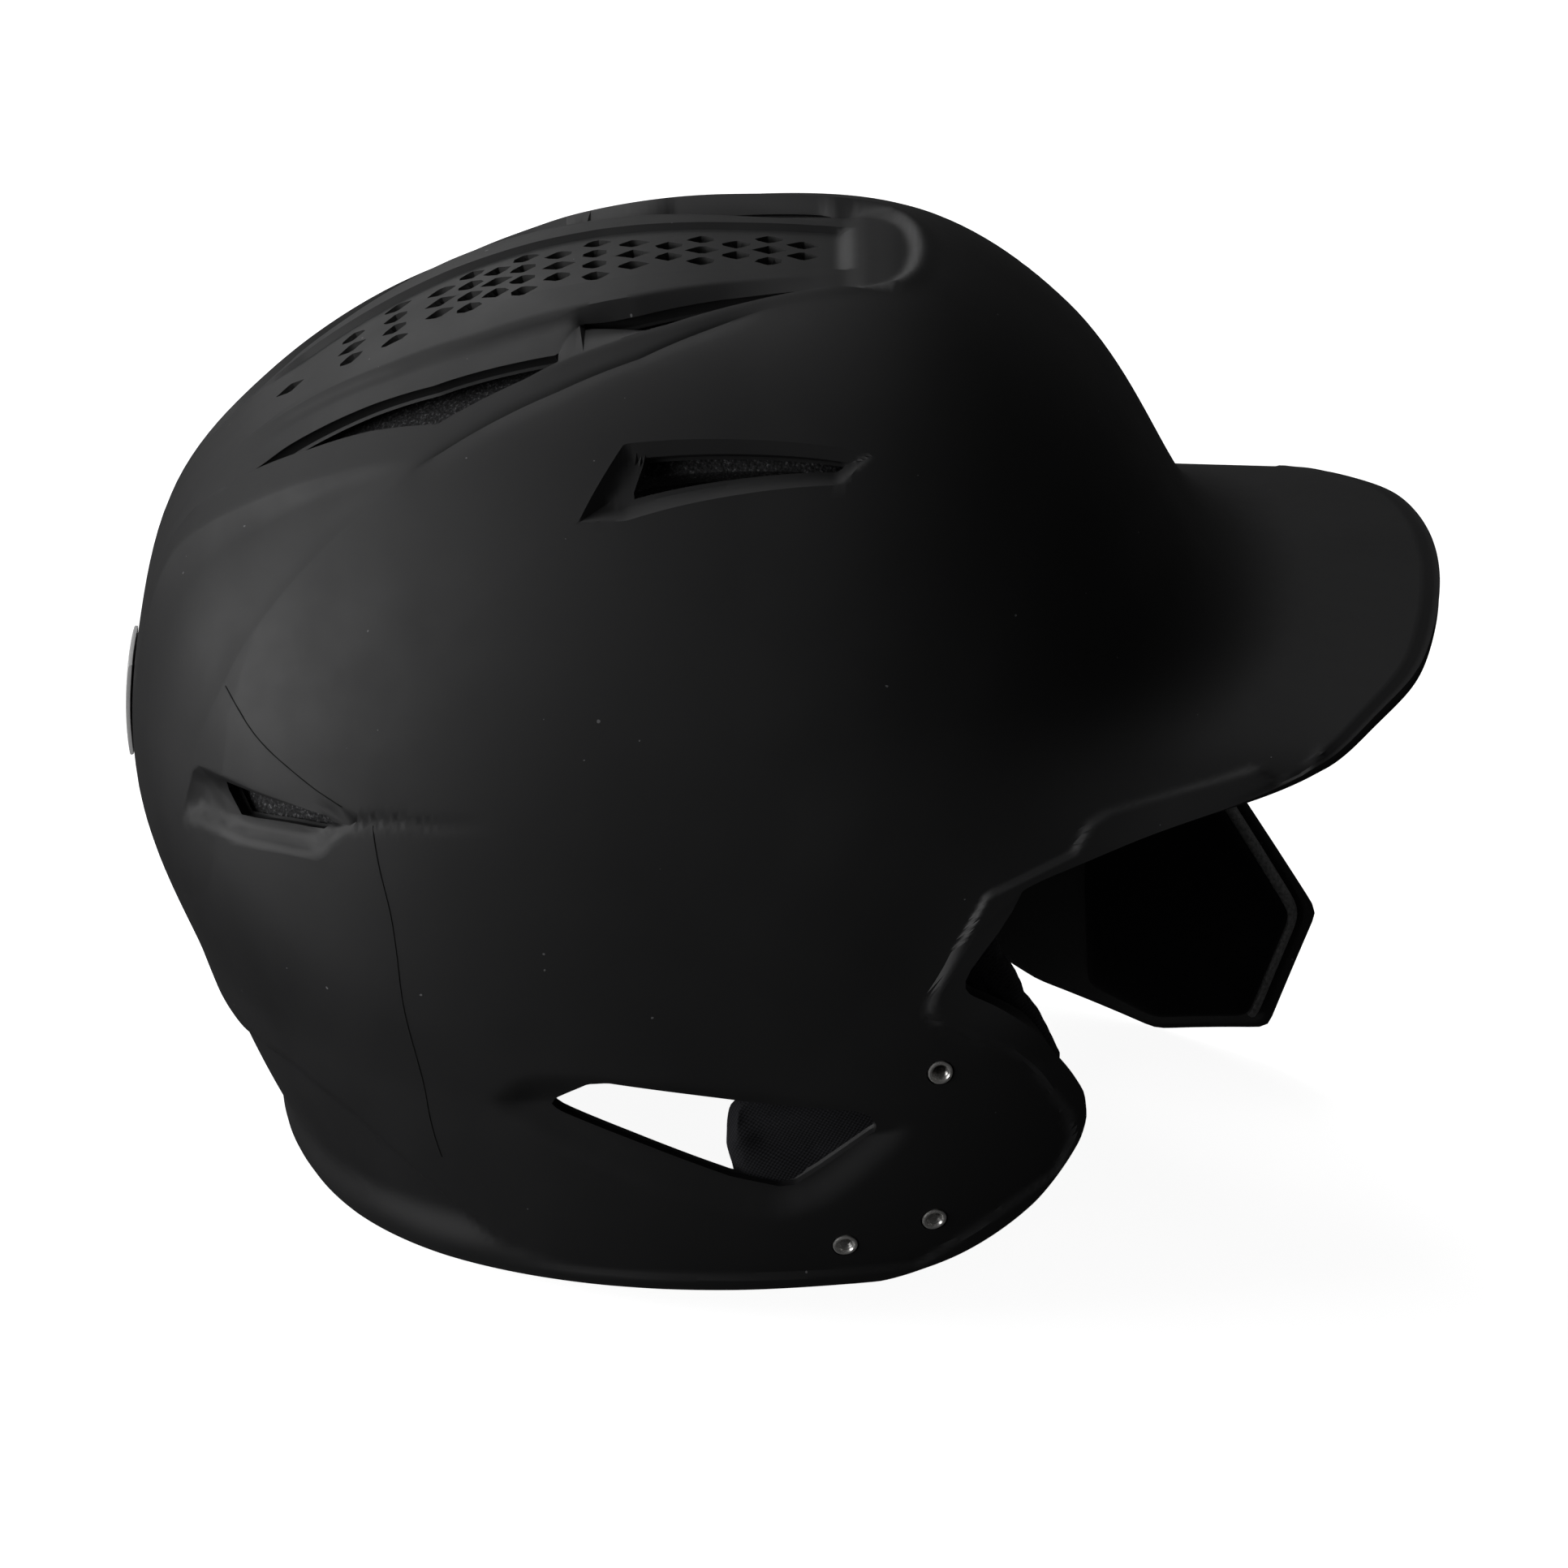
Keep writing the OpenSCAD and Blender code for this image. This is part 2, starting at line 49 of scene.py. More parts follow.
# ---- surface formula, the same as the CAD's; angles and latitudes are in degrees ----
EAR = (-12.0, 40.0)  # x and z of the ear axis
HALF_WIDTH = 104.0
ROUND_EXPONENT = 2.45  # 2 would make the dome's cross-section an ellipse
WALL = 3.4
SEAM = 48.0  # latitude where the crown's grid meets the grids around the ear holes
MM_PER_DEG = 2.9
BILL_TIP, BILL_HEIGHT, BILL_DROOP, BILL_FILLET = 149, 134, 12, 16
DOME = np.array([
    [-200, 145], [-185, 124], [-160, 109], [-120, 100], [-90, 95], [-60, 95], [-30, 110], [0, 128],
    [25, 140], [46, 149], [62, 167], [75, 176], [90, 174], [110, 172], [130, 169], [140, 166],
    [150, 156], [160, 145], [175, 124], [200, 109], [240, 100]], float)
FRONT_EDGE = np.array([
    [0, 30.3], [16, 30.3], [22, 31.3], [27, 31.7], [30.4, 32.4], [33, 33.5], [37.8, 36.5],
    [44.2, 39.8], [48, 42.8]], float)
FLAP_EDGE = np.array([
    [-50, 52.2], [-41, 57], [-34, 61.5], [-26, 66.5], [-18, 71.5], [-10, 75.5], [-5, 78], [-1, 79],
    [4, 78.5], [9, 76], [15.5, 72.4], [22, 69], [28, 65.5], [33, 62.3], [35.5, 62.6], [37.5, 66],
    [40, 76], [42.8, 85.4]], float)
EAR_HOLE = np.array([
    [32.6, 2.4], [31, 5.6], [28, 6.7], [5, 9], [-27, 13.6], [-31.5, 13], [-39, 8], [-40, 6.2],
    [-37.5, 4.6], [-22, -1.5], [0, -10.5], [11, -13.4], [14.5, -13], [20, -9.2], [32.4, 0.4]], float)
INSERT_SPOTS = [(34.6, 55), (33.6, 16.3), (13.7, 11)]
BORE_RADIUS = 3.1


def held(t):
    return np.clip(t, 0, 1)


def ease(t):
    t = held(t)
    return t * t * (3 - 2 * t)


def wrap(a):
    """Angle brought between -175 and 185."""
    a = np.where(a > 185, a - 360, a)
    return np.where(a < -175, a + 360, a)


def unit(v):
    return v / np.maximum(np.linalg.norm(v, axis=-1, keepdims=True), 1e-12)


def line(table, w):
    return np.interp(w, *np.transpose(table))


def bell(offsets):
    weights = np.exp(-offsets ** 2)
    return weights / weights.sum()


def arc_length(pts):
    return np.concatenate([[0], np.cumsum(np.linalg.norm(np.diff(pts, axis=0), axis=1))])


def along(pts, s, t):
    """Points of a polyline with lengths s, where the length is t."""
    return np.stack([np.interp(t, s, pts[:, 0]), np.interp(t, s, pts[:, 1])], -1)


def halve(shape, low, high, test):
    """Largest numbers between two that pass a test."""
    low, high = np.full(shape, low), np.full(shape, high)
    for _ in range(22):
        middle = (low + high) / 2
        passes = test(middle)
        low, high = np.where(passes, middle, low), np.where(passes, high, middle)
    return low


def dome_radius(a):
    """Smooth curve through the DOME table."""
    w = wrap(a)
    x, y = DOME[:, 0], DOME[:, 1]
    i = np.clip(np.searchsorted(x, w, side="right") - 1, 1, len(x) - 3)

    def slope(k):
        return (y[k + 1] - y[k - 1]) / (x[k + 1] - x[k - 1])

    h = x[i + 1] - x[i]
    t = (w - x[i]) / h
    u, c = t * t, t ** 3
    return ((2 * c - 3 * u + 1) * y[i] + (c - 2 * u + t) * h * slope(i)
            + (3 * u - 2 * c) * y[i + 1] + (c - u) * h * slope(i + 1))


def dome_reach(a, f):
    f = np.radians(f)
    return ((np.abs(np.cos(f)) / dome_radius(a)) ** ROUND_EXPONENT
            + (np.abs(np.sin(f)) / HALF_WIDTH) ** ROUND_EXPONENT) ** (-1 / ROUND_EXPONENT)


def place(a, f, r):
    a, f = np.radians(a), np.radians(f)
    return np.stack([EAR[0] + r * np.cos(f) * np.cos(a), r * np.sin(f),
                     EAR[1] + r * np.cos(f) * np.sin(a)], -1)


def bill_reach(a, f):
    def under(m):
        p = place(a, f, m)
        y = np.abs(p[..., 1])
        top = BILL_HEIGHT + 0.03 * (BILL_TIP - p[..., 0]) - BILL_DROOP * (y / 80) ** 2 - 40 * (y / 97) ** 16
        return p[..., 2] < top

    return halve(np.shape(a), 20.0, 230.0, under)


def shell_reach(a, f):
    """Reach of the outer face: all of the bill in front, none of it on the ear flaps."""
    a, f = np.broadcast_arrays(np.asarray(a, float), np.asarray(f, float))
    d = dome_reach(a, f)
    w = wrap(a)
    share = ease((w - 12) / 16) * ease((62 - np.abs(f)) / 14) * ease((82 - w) / 14)
    b = bill_reach(w, f)
    h = np.maximum(BILL_FILLET - np.abs(d - b), 0) / BILL_FILLET
    return d + share * (np.maximum(d, b) + h * h * BILL_FILLET / 4 - d)


def shell_point(a, f):
    return place(a, f, shell_reach(a, f))


def shell_normal(a, f):
    step = 0.25
    return unit(np.cross(shell_point(a, f + step) - shell_point(a, f - step),
                         shell_point(a + step, f) - shell_point(a - step, f)))


def flap_y(x, z):
    """Half width of the dome at a point of the side view."""
    r = np.hypot(x - EAR[0], z - EAR[1])
    a = np.degrees(np.arctan2(z - EAR[1], x - EAR[0]))
    return HALF_WIDTH * np.maximum(1 - (r / dome_radius(a)) ** ROUND_EXPONENT, 0) ** (1 / ROUND_EXPONENT)


def latitude(a, r):
    t = np.radians(a)
    return np.degrees(np.arctan2(flap_y(EAR[0] + r * np.cos(t), EAR[1] + r * np.sin(t)), r))


def rim_angle(f):
    """Angle where the dome comes down to the level rim at the back."""
    def above(m):
        return dome_reach(m, f) * np.cos(np.radians(f)) * np.sin(np.radians(m)) > -EAR[1]

    return halve(np.shape(f), 188.0, 226.0, above)


# ---- outlines ----

def segment(p, q, r):
    e = r - q
    t = np.clip(((p - q) @ e) / (e @ e), 0, 1)
    return t, np.linalg.norm(p - q - t[..., None] * e, axis=-1)


def polygon_sd(p, pts):
    """Signed distance to a closed polygon, negative inside."""
    pts = np.asarray(pts, float)
    best = np.full(p.shape[:-1], 1e9)
    inside = np.zeros(p.shape[:-1], bool)
    for q, r in zip(pts, np.roll(pts, -1, axis=0)):
        best = np.minimum(best, segment(p, q, r)[1])
        crosses = (q[1] > p[..., 1]) != (r[1] > p[..., 1])
        at = q[0] + (p[..., 1] - q[1]) / (r[1] - q[1] if r[1] != q[1] else 1e-9) * (r - q)[0]
        inside ^= crosses & (p[..., 0] < at)
    return np.where(inside, -best, best)


def line_distance(p, pts):
    """Distance to an open polyline, and the share of its length at the nearest point."""
    s = arc_length(pts)
    best, share = np.full(p.shape[:-1], 1e9), np.zeros(p.shape[:-1])
    for q, r, start, end in zip(pts, pts[1:], s, s[1:]):
        t, d = segment(p, q, r)
        share = np.where(d < best, (start + t * (end - start)) / s[-1], share)
        best = np.minimum(best, d)
    return best, share


def smooth_loop(pts, rounds=3, closed=True):
    pts = np.asarray(pts, float)
    for _ in range(rounds):
        nxt = np.roll(pts, -1, axis=0) if closed else pts[1:]
        base = pts if closed else pts[:-1]
        cut = np.stack([base * 0.8 + nxt * 0.2, base * 0.2 + nxt * 0.8], 1).reshape(-1, pts.shape[1])
        pts = cut if closed else np.concatenate([pts[:1], cut, pts[-1:]])
    return pts


# Outlines on the crown: angle about the ear axis, latitude from the middle plane
HOOD = smooth_loop([
    (75.7, -30), (75.7, 0), (76.2, 4.3), (77.6, 6.9), (82.5, 8.6), (87.5, 10.0), (94.6, 12.4),
    (103.3, 14.2), (113.5, 16.2), (119, 13.8), (124.4, 11.8), (130.4, 9.0), (136.7, 6.0),
    (139, 3), (139.5, -30)], 2)
SPINE = smooth_loop([
    (80.4, -30), (80.6, 4.8), (81.6, 6.4), (93.6, 8.0), (101.4, 8.6), (109.5, 8.7),
    (116.4, 7.7), (123.8, 5.4), (129, 3.2), (132, -30)], 2)
RECESS_SIDE = [(98.7, 22.2), (78.0, 23.0), (80.4, 25.6), (99.3, 27.9), (103.6, 27.3)]
RECESS_BACK = [(149.1, 23.2), (155, 23.0), (151.6, 31.1), (146.6, 37.9), (140.2, 39.0), (145.3, 30.9)]
# Latitudes of the moulded lines along the crown, by angle
STRIP_EDGE = [(70, 3.6), (80, 3.7), (90, 4.3), (100, 4.7), (125, 4.2), (131, 3.4), (150, 2.6)]
SPINE_EDGE = [(70, 4.6), (80.6, 4.9), (90, 6.5), (97, 7.9), (101.4, 8.3), (109.5, 8.6), (116.4, 7.6),
              (123.8, 5.6), (129, 4.4), (150, 3.8)]
VENT_TOP = [(70, 6.9), (82.3, 7.0), (90.5, 7.9), (97, 9.1), (101.4, 9.5), (103.3, 12.9), (106, 12.7),
            (113.3, 12.0), (118.6, 10.7), (124.3, 9.5), (130.4, 8.2), (136.7, 5.9)]
VENT_LOW = [(70, 6.9), (82.3, 7.0), (83.2, 7.9), (87.5, 9.4), (94.6, 11.6), (101.4, 9.5), (103.3, 12.9),
            (105.8, 14.0), (113.5, 15.4), (119, 13.1), (124.4, 11.2), (130.4, 8.2), (136.7, 5.9)]
HOOD_EDGE = [(70, 8.1), (82.5, 8.5), (87.5, 10.1), (94.6, 12.4), (103.3, 14.3), (105.8, 15.0),
             (113.5, 16.2), (119, 13.8), (124.4, 11.8), (130.4, 8.95), (136.7, 6.5)]
SWOOSH = [(70, 10), (82.5, 9.4), (87.5, 10.7), (96.9, 14.1), (103.6, 15.6), (112.8, 17.5), (115.5, 17.9),
          (123.2, 15.4), (130.4, 12.4), (139.1, 8.2), (152, 7.2)]
PANEL_EDGE = [(70, 12), (82.5, 10.3), (87.5, 11.3), (96.9, 15.2), (103.6, 16.8), (112.8, 18.4),
              (117, 19.2), (129.9, 21.3), (141, 23.0), (148, 22.8), (156, 22.0)]
RECESS_TOP = [(78, 23.0), (98.7, 22.2), (103.6, 27.3), (140.2, 39.0), (145.3, 30.9),
              (149.1, 23.5), (155, 23.3)]
SIDE_VENT_TOP = [(80, 23.7), (97.1, 23.2), (98.7, 26.2), (103.6, 27.4), (140.2, 39.1),
                 (140.8, 37.7), (145.3, 31.6), (147.8, 27.2), (151.2, 27.3), (155, 25)]
SIDE_VENT_LOW = [(80, 23.7), (80.6, 24.4), (98.7, 26.2), (103.6, 27.4), (140.2, 39.1),
                 (140.8, 37.7), (143.8, 36.9), (148.6, 31.2), (151.2, 27.4), (155, 25)]
RECESS_LOW = [(70, 25.2), (78, 25.0), (80.4, 25.6), (99.3, 27.9), (103.6, 27.6), (140.2, 39.3),
              (146.6, 37.9), (151.6, 31.1), (155, 25.6)]
STEP = 0.32  # width of a steep step, in degrees


def vent_outline(top, low, a0, a1):
    upper = [(a0, line(top, a0))] + [q for q in top if a0 < q[0] < a1]
    lower = [(a1, line(low, a1))] + [q for q in low[::-1] if a0 < q[0] < a1]
    return upper + lower


VENTS = [vent_outline(VENT_TOP, VENT_LOW, 82.3, 101.4), vent_outline(VENT_TOP, VENT_LOW, 103.3, 130.4),
         [(80, 23.7), (97.1, 23.2), (98.7, 26.2), (80.6, 24.4)],
         [(140.8, 37.7), (145.3, 31.6), (147.8, 27.2), (151.2, 27.35), (148.6, 31.2), (143.8, 36.9)]]
# Grid of the crown: rows between the moulded lines, and columns between the front and the rear rim
ROW_COUNTS = [15, 1, 7, 7, 1, 1, 6, 1, 7, 1, 8, 4, 1, 4, 22]
COLUMN_ANGLES, COLUMN_COUNTS, FLAP_COLUMNS = (50, 74, 129), [36, 24, 162, 80], 150
# Outlines in the side view, x and z
FLANGE_REGION = [
    (124, 128), (113.9, 119.4), (108.5, 118.2), (104.2, 120.6), (71, 113.5), (66.6, 111.2), (63.4, 105.5),
    (44.3, 97.4), (33, 75), (31.8, 70.4), (33.8, 66.8), (49.2, 59.9), (54.7, 54.7), (63.1, 40.3),
    (64.1, 33.4), (60.6, 25.1), (29.9, 3.6), (20, 3.4), (-80, 3.2), (-80, -30), (90, -30), (90, 60),
    (60, 84), (140, 118)]
EAR_RECESS = smooth_loop([(-68, 45.7), (-56, 57.2), (-8, 53.5), (27.5, 45), (29, 39), (12.5, 23),
                          (0, 17.4), (-14, 20.5), (-48, 33)], 2)
LEDGE_REGION = [(-160, 43), (-126.9, 41.6), (-112, 42.5), (-96.3, 35.1), (-77.6, 19.9), (-61.5, 8.4),
                (-30, 1), (-30, -30), (-160, -30)]

# Columns of diamonds on the spine: x in the middle plane, and how many abreast
STRIP_COLUMNS = [(4.2, 2), (-3.4, 3), (-10.9, 2), (-18.6, 3), (-26.2, 2), (-34.3, 3), (-42.8, 4),
                 (-51, 3), (-59, 4), (-65, 3), (-71, 4), (-77.7, 3), (-87.9, 4), (-98, 3), (-112, 1)]
DIAMOND_LENGTH, DIAMOND_WIDTH, DIAMOND_PITCH = 4.0, 2.5, 6.3  # half sizes, and spacing abreast
SPINE_RADIUS = 172
middle_angles = np.linspace(70, 145, 600)
middle_line = shell_point(middle_angles, 0 * middle_angles)
middle_arc = arc_length(middle_line)

# Depths of the mouldings, in millimetres
HOOD_STEP, FRONT_STEP, SPINE_STEP, HOOD_LIP = 1.8, 0.9, 1.2, 0.3
STRAP_DEPTH, STRAP_CROWN, STRIP_DEPTH, DIMPLE_DEPTH = 1.5, 0.3, 1.5, 2.6
FOLD_DEPTH, SCOOP_DEPTH, SCOOP_RISE = 0.6, 1.7, 0.6
FRONT_RECESS, REAR_RECESS, REAR_FOLD, EAR_DEPTH = 2.8, 2.3, 0.7, 2.3
FLANGE_HEIGHT, BILL_GROOVE, LEDGE_DEPTH, LEDGE_FLARE = 1.2, 0.5, 2.2, 3.6


def crown_chart(a, f):
    """Crown laid flat, one half on the other."""
    return np.stack([a * MM_PER_DEG, np.abs(f) * MM_PER_DEG], -1)


def chart(pts):
    return np.asarray(pts, float) * MM_PER_DEG


def diamonds_sd(a, f):
    s = np.interp(a, middle_angles, middle_arc)
    y = SPINE_RADIUS * np.sin(np.radians(f))
    best = np.full(np.shape(a), 1e9)
    for x, count in STRIP_COLUMNS:
        at = np.interp(-x, -middle_line[:, 0], middle_arc)
        for k in range(count):
            across = np.abs(y - DIAMOND_PITCH * (k - (count - 1) / 2)) / DIAMOND_WIDTH
            best = np.minimum(best, (np.abs(s - at) / DIAMOND_LENGTH + across - 1) * 2.12)
    return best


def vents_sd(a, f):
    p = crown_chart(wrap(a), f)
    v = np.minimum.reduce([polygon_sd(p, chart(outline)) for outline in VENTS])
    return np.where(np.abs(v) < 0.03, 0, v)


def bores_sd(a, f):
    p = shell_point(a, f)
    near = np.minimum.reduce([np.hypot(p[..., 0] - x, p[..., 2] - z) for x, z in INSERT_SPOTS])
    return np.where(np.abs(f) > 50, near - BORE_RADIUS, 9)


def relief(a, f, p, edge_gap):
    """Height of the mouldings over the plain surface, in millimetres."""
    def inside(outline):
        return -polygon_sd(q, chart(outline))

    w = wrap(a)
    g = np.abs(f)
    q = crown_chart(w, f)
    d = np.zeros(w.shape)
    crown = (g < SEAM + 1) & (w > 60) & (w < 165)
    # the spine comes out from under the hood: a step in front, crisp walls and vents behind
    in_hood, to_spine = inside(HOOD), -inside(SPINE)
    front = (HOOD_STEP * ease(in_hood / 3.0) + FRONT_STEP * ease((w - 76.5) / 4)
             + SPINE_STEP * ease(to_spine / 4) * ease((w - 80) / 3))
    spine, top, low, hood = (line(t, w) for t in (SPINE_EDGE, VENT_TOP, VENT_LOW, HOOD_EDGE))
    sink = np.interp(w, [80.5, 84, 90, 97, 105, 112], [3.4, 3.3, 2.6, 1.5, 0.5, 0.0])
    vent_depth = np.interp(w, [82, 90, 101, 113, 124, 131, 140], [3.6, 4.6, 4.6, 3.6, 2.8, 1.6, 0.3])
    t = held((g - spine) / np.maximum(top - spine, 0.1))
    flank = sink + (vent_depth - sink) * t ** 1.15
    bridge = np.interp(w, [103.1, 108.6, 116.6, 125.6], [9.6, 9.8, 8.5, 6.3])
    near = held((g - spine) / np.maximum(bridge - spine, 0.5))
    shelf = STRAP_DEPTH * near ** 0.8 - STRAP_CROWN * held((g - bridge) / np.maximum(top - bridge, 0.3))
    strap = ease((w - 98.5) / 5.0) * ease((131 - w) / 5)
    flank = flank * (1 - strap) + (sink + shelf) * strap
    wall = held((hood - g) / np.maximum(hood - low, 0.1))
    behind = np.where(g < top + 0.01, flank, vent_depth * wall)
    share = ease((w - 79.8) / 2.0)
    channel = front * (1 - share) * (in_hood > 0) + behind * share
    d = d - np.where(crown & (w < 142), channel, 0)
    lip = np.exp(-((in_hood + 0.4) / 2.4) ** 2) * ease((108 - w) / 6)
    d = d + np.where(crown, HOOD_LIP * lip, 0)
    # sunk strip between the spine's two rails
    strip = held((line(STRIP_EDGE, w) + STEP - g) / STEP) * ease((w - 80.8) / 1.4)
    d = d - STRIP_DEPTH * np.where(crown, strip * ease((131 - w) / 7), 0)
    # fold just outside the channel
    panel, swoosh = line(PANEL_EDGE, w), line(SWOOSH, w)
    fold = np.exp(-np.abs(g - panel) * MM_PER_DEG / 1.1)
    d = d - FOLD_DEPTH * np.where(crown, fold * ease((w - 86) / 6) * ease((118 - w) / 5), 0)
    # scoop behind the side panel
    t = (g - swoosh) / (panel + STEP - swoosh)
    walls = ease((g - swoosh) / 1.5) * ease((panel + STEP - g) / 1.0)
    amount = ease((w - 114) / 14) * (1 - ease((w - 139) / 17))
    d = d - np.where(crown, amount * walls * (SCOOP_DEPTH - SCOOP_RISE * held(t)), 0)
    # sunk surrounds of the two side vents
    d = d - FRONT_RECESS * held(inside(RECESS_SIDE) / 3.2) * (w < 120)
    d = d - REAR_RECESS * ease(inside(RECESS_BACK) / 4.5) * (w > 130)
    fold, share = line_distance(q, chart([(140.4, 38.6), (136.7, 40.6), (131.6, 43.9), (124.6, 46.8)]))
    d = d - REAR_FOLD * np.exp(-(fold / 1.3) ** 2) * (1 - share) * (w > 100)
    # flange along bill, brow, notch and flap
    side, x, z = p[..., [0, 2]], p[..., 0], p[..., 2]
    forward = (w < 46) & (w > -175)
    band = ease((0.8 - polygon_sd(side, FLANGE_REGION)) / 1.6) * ease((g - 24) / 4)
    band = band * np.where(w < -40, ease((x + 72) / 45), 1)
    bill = BILL_GROOVE * ease((1.5 - edge_gap) / 0.5) * ease((34 - g) / 5)
    band = band * np.where(w > 0, ease((122 - x) / 9), 1)
    d = d + np.where(forward, FLANGE_HEIGHT * band, 0) - np.where((w > 25) & (w < 60), bill, 0)
    # surround of the ear hole
    d = d - EAR_DEPTH * ease(-polygon_sd(side, EAR_RECESS) / 9.0) * (g > 50)
    # the rear wall steps in under the ledge and flares to a lip
    rear = (x < -28) & (z < 60)
    under = ease(-polygon_sd(side, LEDGE_REGION) / 3.4)
    fade = ease((-28 - x) / 50)
    lip = ease((13 - z) / 10)
    d = d + np.where(rear, fade * under * (LEDGE_FLARE * lip - LEDGE_DEPTH), 0)
    return d


# ---- mesh helpers ----

def grid_triangles(rows, cols, start=0, flip=False):
    j, i = np.meshgrid(np.arange(rows - 1), np.arange(cols - 1), indexing="ij")
    p = (start + j * cols + i).ravel()
    q = np.stack([p, p + 1, p + cols + 1, p + cols], 1)
    odd = ((i + j) % 2 == 1).ravel()
    tri = np.where(odd[:, None, None],
                   np.stack([q[:, [0, 1, 3]], q[:, [1, 2, 3]]], 1),
                   np.stack([q[:, [0, 1, 2]], q[:, [0, 2, 3]]], 1)).reshape(-1, 3)
    return tri[:, ::-1] if flip else tri


def spaced(breaks, counts):
    """Numbers between break points, each span evenly divided."""
    parts = [np.linspace(a, b, n, endpoint=False) for a, b, n in zip(breaks, breaks[1:], counts)]
    return np.concatenate(parts + [[breaks[-1]]])


def weld(points, triangles, extra):
    """Joins vertices that coincide, and keeps extra for those left."""
    key = np.round(points, 3)
    _, first, back = np.unique(key, axis=0, return_index=True, return_inverse=True)
    tri = back.reshape(-1)[triangles]
    keep = (tri[:, 0] != tri[:, 1]) & (tri[:, 1] != tri[:, 2]) & (tri[:, 0] != tri[:, 2])
    return tri[keep], extra[first]


def edges_of(tri):
    return np.concatenate([tri[:, [0, 1]], tri[:, [1, 2]], tri[:, [2, 0]]])


def snap(param, tri, sd):
    """Moves the vertices next to an outline onto it, and returns the signed distances."""
    v = sd(*param.T)
    e = edges_of(tri)
    cross = v[e[:, 0]] * v[e[:, 1]] < 0
    a, b = e[cross, 0], e[cross, 1]
    pick = np.unique(np.where(np.abs(v[a]) < np.abs(v[b]), a, b))
    step, limit = 0.02, 0.6
    for _ in range(4):
        a0, f0 = param[pick].T
        value = sd(a0, f0)
        ga = (sd(a0 + step, f0) - sd(a0 - step, f0)) / (2 * step)
        gf = (sd(a0, f0 + step) - sd(a0, f0 - step)) / (2 * step)
        size = np.maximum(ga * ga + gf * gf, 1e-3)
        param[pick, 0] -= np.clip(value * ga / size, -limit, limit)
        param[pick, 1] -= np.clip(value * gf / size, -limit, limit)
    v[pick] = 0
    return v


def open_edges(tri):
    e = edges_of(tri)
    key = e[:, 0].astype(np.int64) * (e.max() + 1) + e[:, 1]
    back = e[:, 1].astype(np.int64) * (e.max() + 1) + e[:, 0]
    return e[~np.isin(key, back)]


def shade_smooth(obj):
    obj.data.polygons.foreach_set("use_smooth", [True] * len(obj.data.polygons))


def apply_modifier(obj, modifier):
    bpy.context.view_layer.objects.active = obj
    bpy.ops.object.modifier_apply(modifier=modifier.name)


def make_object(name, points, triangles, mat, smooth_angle, replaces=()):
    """Mesh object of a closed body, its faces turned outward, on the body root."""
    mesh = bpy.data.meshes.new(name)
    corners = points[triangles] - points.mean(0)
    if np.einsum("ij,ij->i", corners[:, 0], np.cross(corners[:, 1], corners[:, 2])).sum() < 0:
        triangles = triangles[:, ::-1]
    used, index = np.unique(triangles, return_inverse=True)
    mesh.from_pydata(to_row(points[used]).tolist(), [], index.reshape(-1, 3).tolist())
    mesh.update()
    mesh.materials.append(mat)
    obj = bpy.data.objects.new(name, mesh)
    bpy.context.scene.collection.objects.link(obj)
    shade_smooth(obj)
    if smooth_angle is not None:
        mesh.set_sharp_from_angle(angle=math.radians(smooth_angle))
    mesh.update()
    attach(obj, "root")
    if replaces:
        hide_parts(*replaces)
    return obj


# ---- materials ----

def material(name, colour, roughness, build, **sockets):
    """Sets sockets of the shader, then calls build."""
    m = bpy.data.materials.new(name)
    m.use_nodes = True
    shader = m.node_tree.nodes["Principled BSDF"]
    shader.inputs["Base Color"].default_value = (*colour, 1)
    shader.inputs["Roughness"].default_value = roughness
    for key, value in sockets.items():
        shader.inputs[key.replace("_", " ")].default_value = value
    build(m.node_tree, shader)
    return m


def put(tree, socket, value):
    """Sets an input to a value, or links an output to it."""
    if isinstance(value, bpy.types.NodeSocket):
        tree.links.new(value, socket)
    else:
        socket.default_value = value


def new_node(tree, kind, **values):
    n = tree.nodes.new("ShaderNode" + kind)
    for key, value in values.items():
        put(tree, n.inputs[key], value)
    return n


def coordinates(tree):
    return new_node(tree, "TexCoord").outputs["Object"]


def noise(tree, scale, detail=3, rough=0.6):
    return new_node(tree, "TexNoise", Scale=scale, Detail=detail, Roughness=rough,
                    Vector=coordinates(tree)).outputs["Fac"]


def ramp(tree, source, stops):
    r = new_node(tree, "ValToRGB", Fac=source)
    while len(r.color_ramp.elements) < len(stops):
        r.color_ramp.elements.new(0.5)
    for e, (at, colour) in zip(r.color_ramp.elements, stops):
        e.position = at
        e.color = (*colour, 1)
    return r.outputs["Color"]


def grey(v):
    return (v, v, v)


def mix_colour(tree, share, first, second):
    n = new_node(tree, "Mix")
    n.data_type = "RGBA"
    for key, value in (("Factor", share), ("A", first), ("B", second)):
        put(tree, n.inputs[key], (*value, 1) if isinstance(value, tuple) else value)
    return n.outputs["Result"]


def bump(tree, shader, sources):
    """Adds bump layers: (height output, strength, distance)."""
    for height, strength, distance in sources:
        b = new_node(tree, "Bump", Strength=strength, Distance=distance, Height=height)
        for link in shader.inputs["Normal"].links:
            tree.links.new(link.from_socket, b.inputs["Normal"])
        tree.links.new(b.outputs["Normal"], shader.inputs["Normal"])


def maths(tree, operation, *values):
    n = new_node(tree, "Math")
    n.operation = operation
    for socket, value in zip(n.inputs, values):
        put(tree, socket, value)
    return n.outputs[0]


